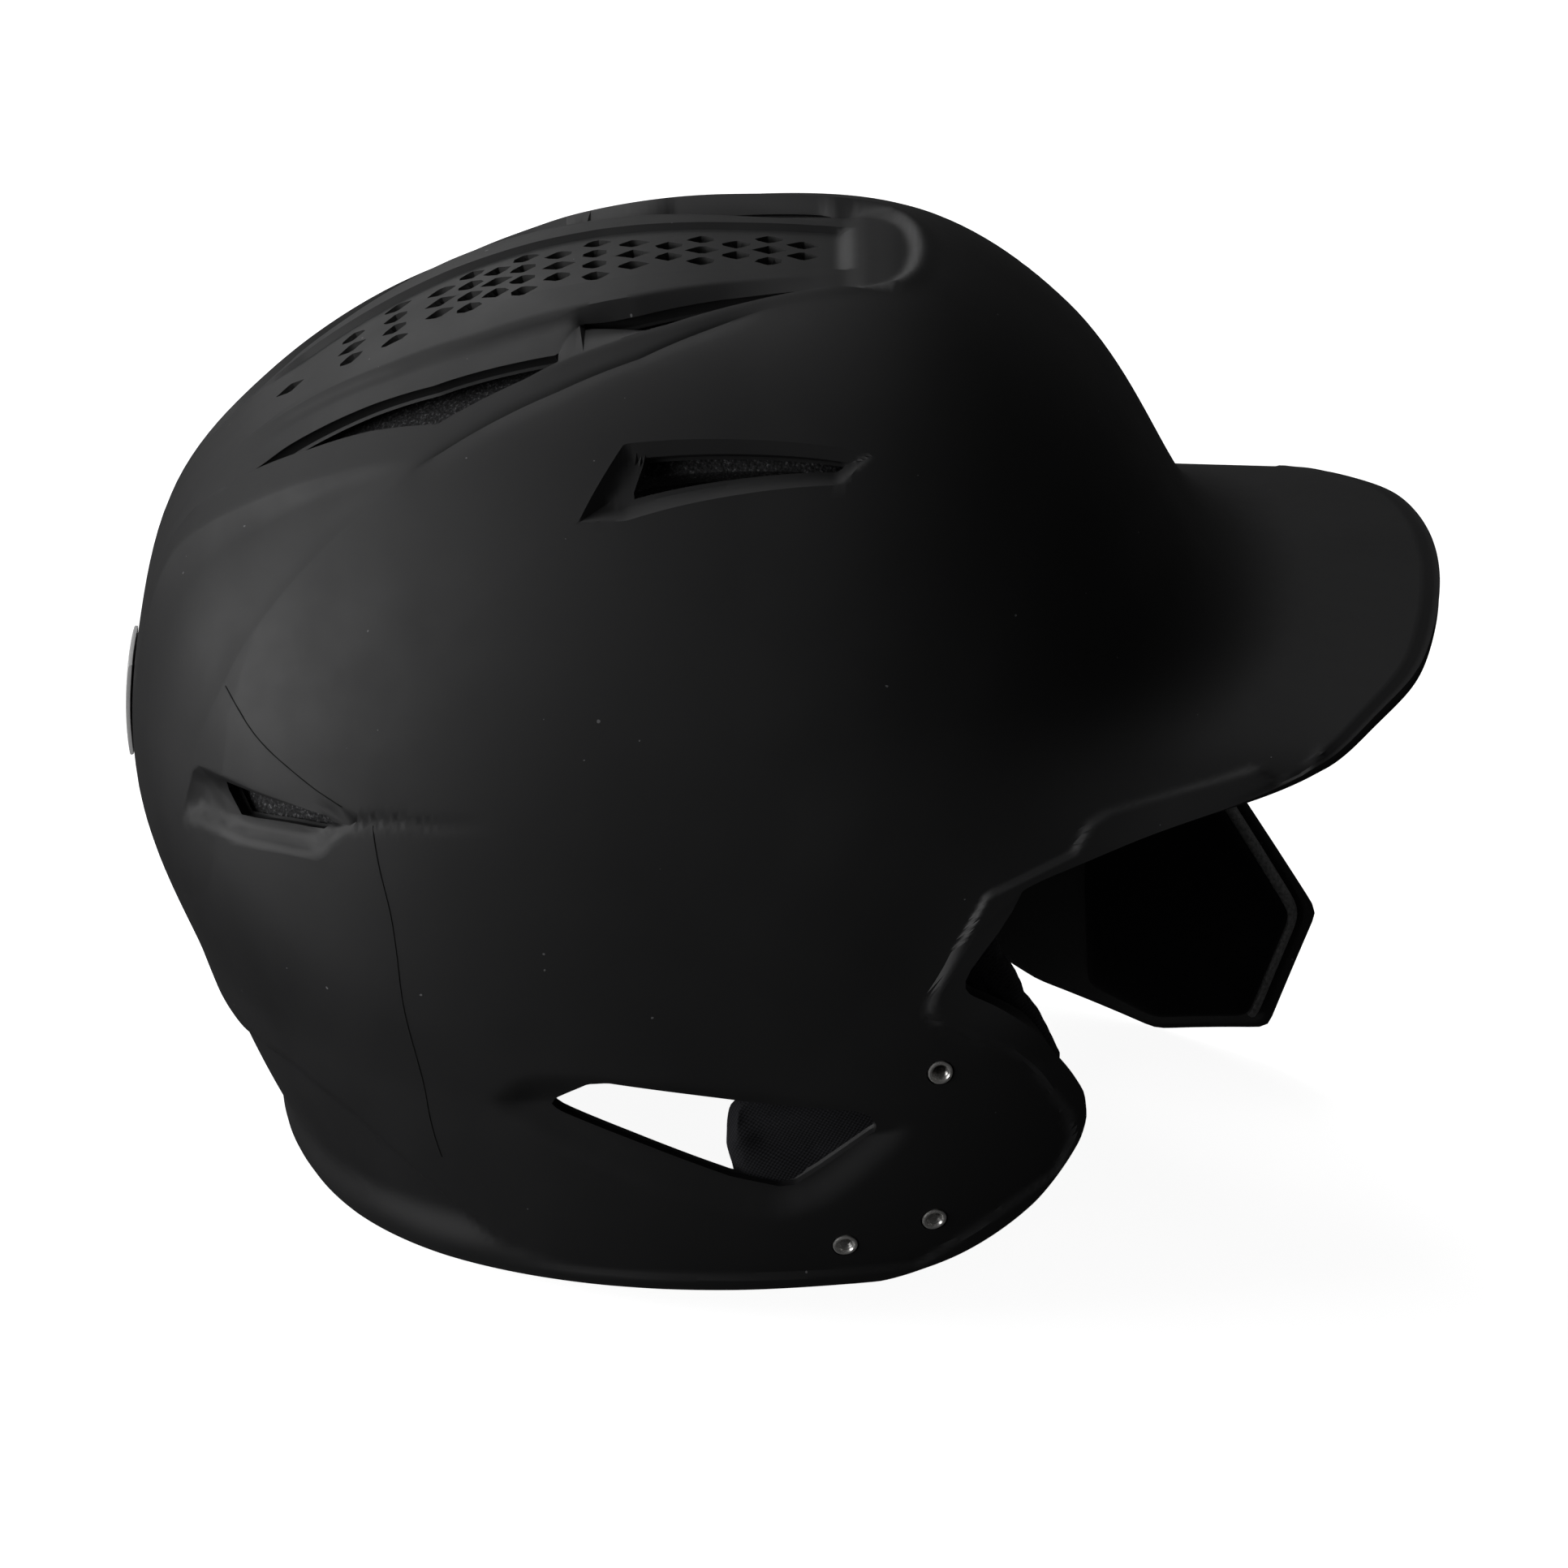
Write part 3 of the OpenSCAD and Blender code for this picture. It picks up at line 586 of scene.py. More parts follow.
def shell_nodes(tree, shader):
    cloud = noise(tree, 14, 4)
    grain = noise(tree, 2600, 2)
    speck = noise(tree, 520, 1, 0.3)
    body = ramp(tree, cloud, [(0.3, (0.0105, 0.0105, 0.0112)), (0.7, (0.0135, 0.0135, 0.0142))])
    dust = maths(tree, "GREATER_THAN", speck, 0.835)
    tree.links.new(mix_colour(tree, dust, body, (0.16, 0.16, 0.165)), shader.inputs["Base Color"])
    tree.links.new(ramp(tree, noise(tree, 45, 5), [(0.3, grey(0.55)), (0.7, grey(0.64))]),
                   shader.inputs["Roughness"])
    bump(tree, shader, [(cloud, 0.05, 0.001), (grain, 0.22, 0.00005)])


def weave_height(tree, pitch):
    """Plain weave of two thread directions, at a pitch in metres."""
    turn = new_node(tree, "Mapping", Rotation=(0.2, 0.35, 0.5), Vector=coordinates(tree))
    split = new_node(tree, "SeparateXYZ", Vector=turn.outputs["Vector"])
    waves = [maths(tree, "SINE", maths(tree, "MULTIPLY", split.outputs[axis], 2 * math.pi / pitch))
             for axis in ("X", "Z")]
    return maths(tree, "MULTIPLY", *waves)


def fabric_nodes(tree, shader):
    weave = weave_height(tree, 0.0009)
    lint = noise(tree, 900, 3)
    base = ramp(tree, maths(tree, "MULTIPLY_ADD", weave, 0.5, 0.5),
                [(0.25, (0.005, 0.005, 0.007)), (0.8, (0.030, 0.030, 0.038))])
    tree.links.new(mix_colour(tree, noise(tree, 60, 3), base, (0.007, 0.007, 0.009)),
                   shader.inputs["Base Color"])
    bump(tree, shader, [(weave, 0.5, 0.00012), (lint, 0.25, 0.00008)])


def foam_nodes(tree, shader):
    cells = new_node(tree, "TexVoronoi", Scale=1500, Vector=coordinates(tree))
    speckle = noise(tree, 1300, 2, 0.7)
    tree.links.new(ramp(tree, speckle, [(0.40, (0.007, 0.007, 0.0075)), (0.58, (0.030, 0.030, 0.032)),
                                        (0.72, (0.15, 0.15, 0.155))]), shader.inputs["Base Color"])
    bump(tree, shader, [(cells.outputs["Distance"], 0.6, 0.0003)])


def coat(colour=None, rough=None, grain=None):
    """Nodes of a plain material: ramps (scale, detail, stops) and a bump (scale, strength, distance)."""
    def build(tree, shader):
        for socket, layer in (("Base Color", colour), ("Roughness", rough)):
            if layer:
                scale, detail, stops = layer
                tree.links.new(ramp(tree, noise(tree, scale, detail), stops), shader.inputs[socket])
        if grain:
            scale, strength, distance = grain
            bump(tree, shader, [(noise(tree, scale, 2), strength, distance)])

    return build


KNIT_STOPS = [(0.3, (0.0022, 0.0022, 0.0030)), (0.7, (0.0042, 0.0042, 0.0055))]
METAL_STOPS = [(0.3, (0.62, 0.61, 0.59)), (0.7, (0.80, 0.79, 0.77))]
SHELL_BLACK = material("shell_black", (0.0125, 0.0125, 0.0135), 0.62, shell_nodes)
PAD_FABRIC = material("pad_fabric", (0.02, 0.02, 0.022), 0.9, fabric_nodes, Sheen_Weight=0.06)
FOAM = material("liner_foam", (0.03, 0.03, 0.03), 0.85, foam_nodes)
GUARD_KNIT = material("guard_knit", (0.008, 0.008, 0.01), 0.85,
                      coat((35, 3, KNIT_STOPS), None, (1800, 0.35, 0.00008)), Sheen_Weight=0.02,
                      Specular_IOR_Level=0.2)
PIPING = material("foam_edge_grey", (0.16, 0.16, 0.165), 0.9,
                  coat((1400, 3, [(0.35, grey(0.16)), (0.65, grey(0.30))]), None, (1100, 0.5, 0.0002)))
METAL = material("insert_metal", (0.7, 0.69, 0.67), 0.3,
                 coat((300, 3, METAL_STOPS), (900, 4, [(0.3, grey(0.22)), (0.7, grey(0.38))]),
                      (2500, 0.1, 0.00003)), Metallic=0.7)
DARK_METAL = material("screw_black_oxide", (0.06, 0.06, 0.065), 0.35,
                      coat(None, (700, 4, [(0.3, grey(0.30)), (0.7, grey(0.45))]), (2500, 0.1, 0.00003)),
                      Metallic=1.0)
BADGE_WHITE = material("badge_white", (0.84, 0.84, 0.84), 0.4,
                       coat((120, 3, [(0.3, grey(0.80)), (0.7, (0.86, 0.86, 0.855))]), None,
                            (1500, 0.1, 0.00005)))
# painted shade: darker material for the faces of the sunk diamonds, standing in for the shade in these
# dimples
DIMPLE_PAINTED_SHADE = material("dimple_shade", (0.003, 0.003, 0.003), 0.75, coat(grain=(2600, 0.2, 0.00005)))
# painted shade: near-black colour for the tubes along the moulded lines, standing in for the shade in their
# fine grooves
SEAM_PAINTED_SHADE = material("parting_line_painted_shade", (0.003, 0.003, 0.003), 0.8, coat(grain=(900, 0.1, 0.00005)))


# ---- shell ----

def hole_radius(angles):
    """Radius of the ear hole about the ear axis."""
    best = np.zeros(angles.shape)
    t = np.radians(angles)
    d = np.stack([np.cos(t), np.sin(t)], -1)
    for p, q in zip(EAR_HOLE, np.roll(EAR_HOLE, -1, axis=0)):
        e = q - p
        den = d[:, 0] * e[1] - d[:, 1] * e[0]
        den = np.where(np.abs(den) < 1e-9, 1e-9, den)
        r = (p[0] * e[1] - p[1] * e[0]) / den
        s = (p[0] * d[:, 1] - p[1] * d[:, 0]) / den
        best = np.maximum(best, np.where((r > 0) & (s >= -1e-6) & (s <= 1 + 1e-6), r, 0))
    return best


def edge_radius(angles):
    """Radius of the rim, flap and notch about the ear axis."""
    w = wrap(angles)
    rim = EAR[1] / np.abs(np.sin(np.radians(np.where(np.abs(w) < 5, 90, w))))
    fine = np.linspace(-56, 42.8, 400)
    r = line(FLAP_EDGE, fine)
    r = np.where(fine < -50, EAR[1] / np.abs(np.sin(np.radians(np.where(fine < -5, fine, -90)))), r)
    soft = np.convolve(np.pad(r, 8, mode="edge"), bell(np.arange(-8, 9) / 4.0), mode="valid")
    return np.where((w < -56) | (w > 60), rim, np.interp(w, fine, soft))


front_latitudes = np.linspace(0, 60, 601)
front_angles = np.convolve(np.pad(line(FRONT_EDGE, front_latitudes), 50, mode="reflect"),
                           bell(np.arange(-50, 51) / 30.0), mode="valid")


def front_angle(f):
    return np.interp(np.abs(f), front_latitudes, front_angles)


def crown_rows(a):
    """Latitudes of the grid's rows at some angles, gathered on the moulded lines."""
    marks = [0 * a]
    for table in (STRIP_EDGE, SPINE_EDGE, VENT_TOP, VENT_LOW, HOOD_EDGE, SWOOSH, PANEL_EDGE, RECESS_TOP,
                  SIDE_VENT_TOP, SIDE_VENT_LOW, RECESS_LOW):
        marks.append(line(table, a))
        if table in (STRIP_EDGE, SWOOSH, PANEL_EDGE):
            marks.append(marks[-1] + STEP)
    marks = np.stack(marks + [0 * a + SEAM])
    even = SEAM * np.concatenate([[0], np.cumsum(ROW_COUNTS)]) / sum(ROW_COUNTS)
    share = ease((a - 60) / 11) * ease((176 - a) / 14)
    marks = np.maximum.accumulate(even[:, None] * (1 - share) + marks * share, axis=0)
    rows = []
    for k, count in enumerate(ROW_COUNTS):
        t = np.linspace(0, 1, count, endpoint=False)[:, None]
        rows.append(marks[k] * (1 - t) + marks[k + 1] * t)
    half = np.concatenate(rows + [marks[-1:]])
    return np.concatenate([-half[:0:-1], half])


def shell_patch():
    """Triangles and vertices (angle, latitude) of the whole shell between its edges."""
    share = spaced([0, 1, 2, 3, 4], COLUMN_COUNTS)
    k = np.minimum(share.astype(int), 3)
    t = share - k
    t = np.where(k == 0, t ** 1.45, t)

    def column_angles(f):
        marks = np.stack([front_angle(f)] + [0 * f + a for a in COLUMN_ANGLES] + [rim_angle(f)], -1)
        span = np.broadcast_to(k, f.shape)[..., None]
        low, high = (np.take_along_axis(marks, span + n, -1)[..., 0] for n in (0, 1))
        return low * (1 - t) + high * t

    seam_angles = column_angles(np.full(len(share), SEAM))
    f = crown_rows(seam_angles)
    a = column_angles(f)
    blend = ease((a - 62) / 8) * ease((172 - a) / 10)
    a = a * (1 - blend) + seam_angles * blend
    params = [np.stack([a, f], -1).reshape(-1, 2)]
    tris = [grid_triangles(*f.shape)]
    # around each ear hole: rings from the hole to the crown's grid, and to the rim below it
    upper = a[-1]
    lower = upper[-1] + (upper[0] + 360 - upper[-1]) * np.arange(1, FLAP_COLUMNS + 1) / FLAP_COLUMNS
    ring = np.concatenate([upper, lower])
    on_seam = np.arange(len(ring)) < len(upper)
    inner = latitude(ring, hole_radius(ring))
    outer = np.where(on_seam, SEAM, latitude(ring, edge_radius(ring)))
    outer[-1] = SEAM
    t = 0.5 - 0.5 * np.cos(np.linspace(0, math.pi, 41))
    for side in (-1, 1):
        lat = side * (inner[None] + (outer - inner)[None] * t[:, None])
        ang = np.repeat(np.where(on_seam, ring, wrap(ring))[None], len(t), 0)
        tris.append(grid_triangles(len(t), len(ring), sum(len(p) for p in params), flip=side > 0))
        params.append(np.stack([ang, lat], -1).reshape(-1, 2))
    param = np.concatenate(params)
    return weld(shell_point(*param.T), np.concatenate(tris), param)


def cut(tri, param, sd):
    """Snaps the grid to an outline and leaves out the triangles inside it."""
    v = snap(param, tri, sd)
    inside = (v[tri] <= 0.05).all(1)
    inside[inside] = sd(*param[tri[inside]].mean(1).T) < 0
    return tri[~inside]


def build_shell():
    tri, param = shell_patch()
    tri = cut(cut(tri, param, vents_sd), param, bores_sd)
    a, f = param.T
    on_strip = (np.abs(f) < 5.5) & (a > 78) & (a < 135)
    sunk = on_strip & (snap(param, tri[on_strip[tri].all(1)], diamonds_sd) < -0.1)
    base, normal = shell_point(a, f), shell_normal(a, f)
    rim = open_edges(tri)
    to_ear = np.linalg.norm(base - [EAR[0], 0, EAR[1]], axis=1)
    height = relief(a, f, base, np.radians(a - front_angle(f)) * to_ear)
    outer = base + (height - DIMPLE_DEPTH * sunk)[:, None] * normal
    inner = base - (WALL + np.maximum(-height, 0))[:, None] * normal
    # rounded wall along every open edge
    ends = np.unique(rim)
    out = np.zeros_like(base)
    direction = np.cross(unit(outer[rim[:, 1]] - outer[rim[:, 0]]), normal[rim[:, 0]])
    for k in (0, 1):
        np.add.at(out, rim[:, k], direction)
    out = unit(out)
    arcs, bulge = 4, 0.7
    rings, index = [outer], [np.arange(len(base))]
    for k in range(1, arcs):
        t = math.pi * k / arcs
        ring = ((outer[ends] + inner[ends]) / 2 + (outer[ends] - inner[ends]) / 2 * math.cos(t)
                + out[ends] * bulge * math.sin(t))
        lookup = np.zeros(len(base), int)
        lookup[ends] = sum(len(r) for r in rings) + np.arange(len(ends))
        rings.append(ring)
        index.append(lookup)
    start = sum(len(r) for r in rings)
    rings.append(inner)
    index.append(start + np.arange(len(base)))
    walls = []
    for here, there in zip(index, index[1:]):
        (a, b), (c, d) = here[rim].T, there[rim].T
        walls += [np.stack([b, a, c], 1), np.stack([b, c, d], 1)]
    faces = np.concatenate([tri] + walls + [start + tri[:, ::-1]])
    shell = make_object("helmet_shell", np.concatenate(rings), faces, SHELL_BLACK, None,
                        ("shell",))
    # second slot: painted shade on every face that touches a sunk diamond
    shell.data.materials.append(DIMPLE_PAINTED_SHADE)
    slots = np.zeros(len(faces), int)
    slots[:len(tri)] = sunk[tri].any(1)
    shell.data.polygons.foreach_set("material_index", slots)
    # the inner face needs fewer triangles
    inside = np.isin(np.unique(faces), start + np.setdiff1d(np.arange(len(base)), ends))
    group = shell.vertex_groups.new(name="inner_face")
    group.add(np.flatnonzero(inside).tolist(), 1.0, "REPLACE")
    thin = shell.modifiers.new("thin_out", "DECIMATE")
    thin.ratio = 0.62
    thin.vertex_group = "inner_face"
    apply_modifier(shell, thin)
    shell.data.set_sharp_from_angle(angle=math.radians(34))


build_shell()


# ---- foam blocks, badge and pads ----

def closed_patch(name, top, bottom, mat, replaces, smooth_angle=50):
    """Closed body between two grids of points that share their border."""
    rows, cols = top.shape[:2]
    points = np.concatenate([top.reshape(-1, 3), bottom.reshape(-1, 3)])
    tri = np.concatenate([grid_triangles(rows, cols), grid_triangles(rows, cols, rows * cols, True)])
    tri, points = weld(points, tri, points)
    # at a corner of the grids both sides have the same triangle: neither is needed
    _, back, count = np.unique(np.sort(tri, axis=1), axis=0, return_inverse=True, return_counts=True)
    tri = tri[count[back.reshape(-1)] == 1]
    obj = make_object(name, points, tri, mat, smooth_angle, replaces)
    return obj


def edge_profile(u, sharp):
    """Fullness between borders at -1 and 1, squarer with a higher sharp."""
    return np.maximum(1 - np.abs(u) ** sharp, 0) ** (1 / sharp)


def warped(count, sharp):
    """Grid stations from -1 to 1, close together near the ends."""
    t = np.sin(np.linspace(-1, 1, count) * math.pi / 2)
    return np.sign(t) * np.abs(t) ** (1 - 0.25 * min(1, sharp / 16))


def block_grid(rows, cols, sharp):
    """Grid from -1 to 1 both ways, and its fullness, 0 at the border."""
    u, v = np.meshgrid(warped(rows, sharp), warped(cols, sharp), indexing="ij")
    return u, v, edge_profile(u, sharp) * edge_profile(v, sharp)


def spread(low, high, u):
    return (low + high) / 2 + (high - low) / 2 * u


def under_shell(a, f, middle, above, below):
    """Two grids of points, above and below a middle depth."""
    p, n = shell_point(a, f), shell_normal(a, f)
    return p - (middle - above)[..., None] * n, p - (middle + below)[..., None] * n


def layer_piece(name, a0, a1, f0, f1, d0, d1, mat, node, sharp=14, tongue=0.0):
    u, v, thick = block_grid(36, 36, sharp)
    a, f = spread(a0, a1, u), spread(f0, f1, v)
    # a tongue that reaches up behind the side vent
    f = f - np.sign(f0 + f1) * tongue * ease((a - 78.5) / 1.5) * (1 - np.abs(f) / 60) / (1 - 34 / 60)
    d0 = d0 + 2.4 * (tongue > 0) * ease((a - 77) / 2)
    half = (d1 - d0) / 2
    top, bottom = under_shell(a, f, (d0 + d1) / 2, half * thick, half * thick)
    closed_patch(name, top, bottom, mat, (node,))


LINER_LOW = WALL + 13.5  # depth of the foam's inner side
for node, a0, a1, f0, f1, top in [
        ("liner_front", 50, 78, -32, 32, 4.6), ("liner_crown", 80, 128, -24, 24, 8.8),
        ("liner_side_right", 58, 91.5, -60, -34, 4.2), ("liner_side_left", 58, 91.5, 34, 60, 4.2),
        ("liner_rear_right", 98, 158, -58, -27, 6.9), ("liner_rear_left", 98, 158, 27, 58, 6.9),
        ("liner_back", 131, 176, -24, 24, 6.5)]:
    layer_piece(node + "_foam", a0, a1, f0, f1, top, LINER_LOW, FOAM, node,
                tongue=9.0 if "side" in node else 0.0)
layer_piece("blank_badge", 152, 160, -4, 4, -1.6, -0.4, BADGE_WHITE, "rear_badge", 10)

# ---- metal inserts with threads ----
THREAD_PITCH, THREAD_TURNS = 0.75, 9
MINOR_RADIUS, MAJOR_RADIUS, INSERT_RADIUS, INSERT_LENGTH = 1.68, 2.05, 2.8, 7.9


def insert_frame(spot, side):
    """Point on the shell at an insert, the outward axis and two directions across it."""
    x, z = spot
    sx = (flap_y(x + 1, z) - flap_y(x - 1, z)) / 2
    sz = (flap_y(x, z + 1) - flap_y(x, z - 1)) / 2
    out = np.array([-sx, 1, -sz], float)
    out = out / np.linalg.norm(out) * (1, side, 1)
    across = unit(np.cross(out, (1.0, 0, 0)))
    return np.array([x, side * float(flap_y(x, z)), z]), out, across, np.cross(out, across)


def lathe(profile, origin, axis, e1, e2):
    """Closed (radius, height) profile turned about an axis."""
    count = 40
    turn = np.linspace(0, 2 * math.pi, count, endpoint=False)
    ring = np.cos(turn)[:, None] * e1 + np.sin(turn)[:, None] * e2
    points = np.concatenate([origin + r * ring + h * axis for r, h in profile])
    tri = []
    i = np.arange(count)
    m = (i + 1) % count
    for j in range(len(profile)):
        k = (j + 1) % len(profile)
        tri += [np.stack([j * count + i, k * count + i, k * count + m], 1),
                np.stack([j * count + i, k * count + m, j * count + m], 1)]
    return points, np.concatenate(tri)


def insert_piece(name, spots, side, nodes):
    teeth = []
    for k in range(THREAD_TURNS):
        teeth += [(MAJOR_RADIUS, -0.75 - THREAD_PITCH * k), (MINOR_RADIUS, -1.1 - THREAD_PITCH * k)]
    profile = [(2.1, 0.25), (2.45, 0.3), (2.72, 0.18), (INSERT_RADIUS, -0.1),
               (INSERT_RADIUS, -INSERT_LENGTH), (MINOR_RADIUS, -INSERT_LENGTH)]
    profile += teeth[::-1] + [(1.72, -0.35), (1.85, 0.0)]
    points, tris, start = [], [], 0
    for spot in spots:
        p, t = lathe(profile, *insert_frame(spot, side))
        points.append(p)
        tris.append(t + start)
        start += len(p)
    make_object(name, np.concatenate(points), np.concatenate(tris), METAL, 30, nodes)


for word, spot in zip(("upper", "front", "rear"), INSERT_SPOTS):
    insert_piece("thread_insert_" + word, [spot], -1, ("insert_right_" + word,))
insert_piece("thread_inserts_left", INSERT_SPOTS, 1, ("inserts_left",))

# ---- jaw guard ----

def guard_y(x, z):
    return 102.5 - 0.0026 * (x - 20) ** 2 - 0.0012 * (z - 45) ** 2


def soft_loop(pts, radius):
    """Closed outline with its corners softened to about a radius."""
    step = 0.8
    loop = np.asarray(pts + pts[:1], float)
    s = arc_length(loop)
    ring = along(loop, s, np.arange(0, s[-1], step))
    reach = int(3 * radius / step)
    kernel = bell(np.arange(-reach, reach + 1) * step / radius)
    wide = np.concatenate([ring[-reach:], ring, ring[:reach]])
    return np.stack([np.convolve(wide[:, k], kernel, mode="valid") for k in (0, 1)], -1)


GUARD_OUTLINE = soft_loop([(4, 4), (4, 22), (22, 64), (44, 68), (84, 62), (106, 40), (128.6, 8),
                           (117.6, -24.5), (91, -30.4), (62, -22), (30, -4)], 2.2)
GUARD_PAD_POINTS = [(74, -19), (73, 6), (73, 50), (87, 55), (101, 39.5), (122, 8.3), (112.5, -20),
                    (90, -25)]
PAD_CENTRE = np.array([92.0, 16.0])


def sheet_piece(name, outline, centre, y_low, y_high, mat, node, round_in,
                dome=0.0):
    loop = np.concatenate([outline, outline[:1]])
    s = arc_length(loop)
    loop = along(loop, s, np.linspace(0, s[-1], 151))
    near = 1 - np.cos(np.linspace(0, math.pi / 2, 7))
    size = np.linalg.norm(loop - np.asarray(centre), axis=1).min()
    layers = np.concatenate([near * round_in / size, np.linspace(round_in / size, 1, 22)[1:]])
    t = layers[:, None, None]
    grid = loop * (1 - t) + np.asarray(centre) * t
    inset = layers * size
    edge = np.sqrt(np.maximum(1 - (1 - np.minimum(inset / round_in, 1)) ** 2, 0))[:, None]
    x, z = grid[..., 0], grid[..., 1]
    y = guard_y(x, z)
    mid, half = (y_low + y_high) / 2, (y_high - y_low) / 2
    crown = dome * (1 - (1 - layers[:, None]) ** 2)
    top = np.stack([x, y + mid + half * edge, z], -1)
    bottom = np.stack([x, y + mid - half * edge - crown, z], -1)
    closed_patch(name, top, bottom, mat, (node,), 45)


sheet_piece("jaw_guard_plate", GUARD_OUTLINE, (66, 18), 0.0, 3.0, SHELL_BLACK,
            "jaw_guard", 1.4)
sheet_piece("jaw_guard_cushion", soft_loop(GUARD_PAD_POINTS, 2.6), PAD_CENTRE, -8.4, -0.5, GUARD_KNIT,
            "jaw_guard_pad", 5.5, dome=1.4)


def tube(name, path, radius, mat, sides=10, flat=1.0):
    """Tube along a path, closed at both ends, and flat times as wide as it is thick."""
    ahead = np.roll(path, -1, axis=0) - np.roll(path, 1, axis=0)
    ahead[0], ahead[-1] = path[1] - path[0], path[-1] - path[-2]
    t = unit(ahead)
    e1 = unit(np.cross(t, (0.0, 1.0, 0.0)))
    e2 = np.cross(t, e1)
    turn = np.linspace(0, 2 * math.pi, sides, endpoint=False)
    rings = path[:, None] + radius * (np.cos(turn)[None, :, None] * e1[:, None]
                                      + flat * np.sin(turn)[None, :, None] * e2[:, None])
    j, i = np.arange(len(path) - 1)[:, None], np.arange(sides)[None]
    a, b = j * sides + i, j * sides + (i + 1) % sides
    fan = np.arange(1, sides - 1)
    cap = np.stack([0 * fan, fan + 1, fan], 1)
    tri = [np.stack([a, b, b + sides], -1).reshape(-1, 3),
           np.stack([a, b + sides, a + sides], -1).reshape(-1, 3),
           cap, cap[:, ::-1] + (len(path) - 1) * sides]
    make_object(name, rings.reshape(-1, 3), np.concatenate(tri), mat, 60)


# grey foam edge of the cushion, along its front and top
edge = PAD_CENTRE + (soft_loop(GUARD_PAD_POINTS, 3.2) - PAD_CENTRE) * 1.03
turn = np.degrees(np.arctan2(edge[:, 1] - PAD_CENTRE[1], edge[:, 0] - PAD_CENTRE[0]))
edge = edge[np.argsort(turn)]
edge = edge[(np.sort(turn) > -60) & (np.sort(turn) < 108)]
piping = np.stack([edge[:, 0], guard_y(edge[:, 0], edge[:, 1]) - 2.0, edge[:, 1]], -1)
tube("guard_foam_edge", piping, 1.7, PIPING, flat=1.6)
# spacers between the guard and the left flap
for number, (x, z) in enumerate(INSERT_SPOTS):
    origin, axis, e1, e2 = insert_frame((x, z), 1)
    top = guard_y(x, z) - origin[1]
    ring = [(2.1, 0.5), (5.2, 0.5), (5.5, 0.9), (5.5, top + 1), (2.1, top + 1)]
    p, t = lathe(ring, origin, axis, e1, e2)
    make_object("guard_boss_%d" % (number + 1), p, t, SHELL_BLACK, 30)
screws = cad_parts["guard_screws"]
screws.data.materials.clear()
screws.data.materials.append(DARK_METAL)

# ---- fabric pads ----

def vertex_array(obj):
    flat = np.empty(len(obj.data.vertices) * 3)
    obj.data.vertices.foreach_get("co", flat)
    return flat.reshape(-1, 3)


def cloth_pad(name, top, bottom, node, limit, seed_size):
    obj = closed_patch(name, top, bottom, PAD_FABRIC, (node,), 60)
    scene = bpy.context.scene
    bpy.context.view_layer.objects.active = obj
    for other in bpy.context.selected_objects:
        other.select_set(False)
    obj.select_set(True)
    remesh = obj.modifiers.new("even", "REMESH")
    remesh.mode = "VOXEL"
    remesh.voxel_size = seed_size / 1000
    apply_modifier(obj, remesh)
    before = vertex_array(obj)
    cloth = obj.modifiers.new("fill", "CLOTH")
    cloth.settings.use_pressure = True
    cloth.settings.uniform_pressure_force = 4
    cloth.settings.effector_weights.gravity = 0
    cloth.settings.quality = 6
    cloth.settings.mass = 0.25
    cloth.settings.shrink_min = -0.12
    for number in range(1, 21):
        scene.frame_set(number)
    apply_modifier(obj, cloth)
    # no vertex moves further than the limit
    move = vertex_array(obj) - before
    move = np.where(np.isfinite(move), move, 0)
    length = np.linalg.norm(move, axis=1, keepdims=True)
    move *= np.minimum(1, limit / 1000 / np.maximum(length, 1e-9))
    obj.data.vertices.foreach_set("co", (before + move).ravel())
    smooth = obj.modifiers.new("round", "SUBSURF")
    smooth.levels = 1
    apply_modifier(obj, smooth)
    shade_smooth(obj)
    obj.data.update()
    scene.frame_set(1)
    return obj


def flap_pad(name, side, node):
    u, v = np.meshgrid(warped(56, 5), warped(64, 5), indexing="ij")
    z = 46.5 + 38.5 * v
    rear = np.interp(z, [8, 14, 24, 34, 42, 47, 56, 85], [0, -6.5, -11, -13, -12.5, -8, 0, 32])
    front = np.interp(z, [8, 15, 28, 40, 50, 62, 75, 85], [17, 36, 53, 60, 62, 57, 50, 44])
    x = spread(rear, front, u)
    thick = edge_profile(u, 4.5) * edge_profile(v, 4.5)
    y = flap_y(x, z)
    # gathers that fan out from the front edge and from the rear edge
    fan = np.arctan2(z - 96, x - 22)
    folds = (np.abs(np.sin(fan * 15 + 0.5 * np.sin(z / 7))) ** 0.5 - 0.6) * ease((x - 18) / 16) * 2.6
    fan = np.arctan2(z - 34, x + 34)
    folds = folds + (np.abs(np.sin(fan * 12)) ** 0.6 - 0.6) * ease((24 - x) / 24) * 2.0
    depth_out = 5.6 + 4.5 * (1 - thick) - folds * np.minimum(1, 3 * thick)
    depth_in = 17.0 - 6.0 * (1 - thick)
    meet = thick == 0
    middle = (depth_out + depth_in) / 2
    top = np.stack([x, side * (y - np.where(meet, middle, depth_out)), z], -1)
    bottom = np.stack([x, side * (y - np.where(meet, middle, depth_in)), z], -1)
    obj = cloth_pad(name, top, bottom, node, 1.6, 2.2)
    # creases pressed in after the cloth has settled, by the notch
    here = vertex_array(obj)
    normals = np.empty(here.size)
    obj.data.vertex_normals.foreach_get("vector", normals)
    upright = (here * 1000 - REST_SHIFT) @ REST_TURN
    fan = np.arctan2(upright[:, 2] - 88, upright[:, 0] - 34)
    crease = (np.abs(np.sin(fan * 19)) ** 0.6 - 0.7) * ease((upright[:, 0] - 30) / 14) * 0.0013
    obj.data.vertices.foreach_set("co", (here + crease[:, None] * normals.reshape(-1, 3)).ravel())
    obj.data.update()


flap_pad("flap_cushion_right", -1, "flap_pad_right")
flap_pad("flap_cushion_left", 1, "flap_pad_left")


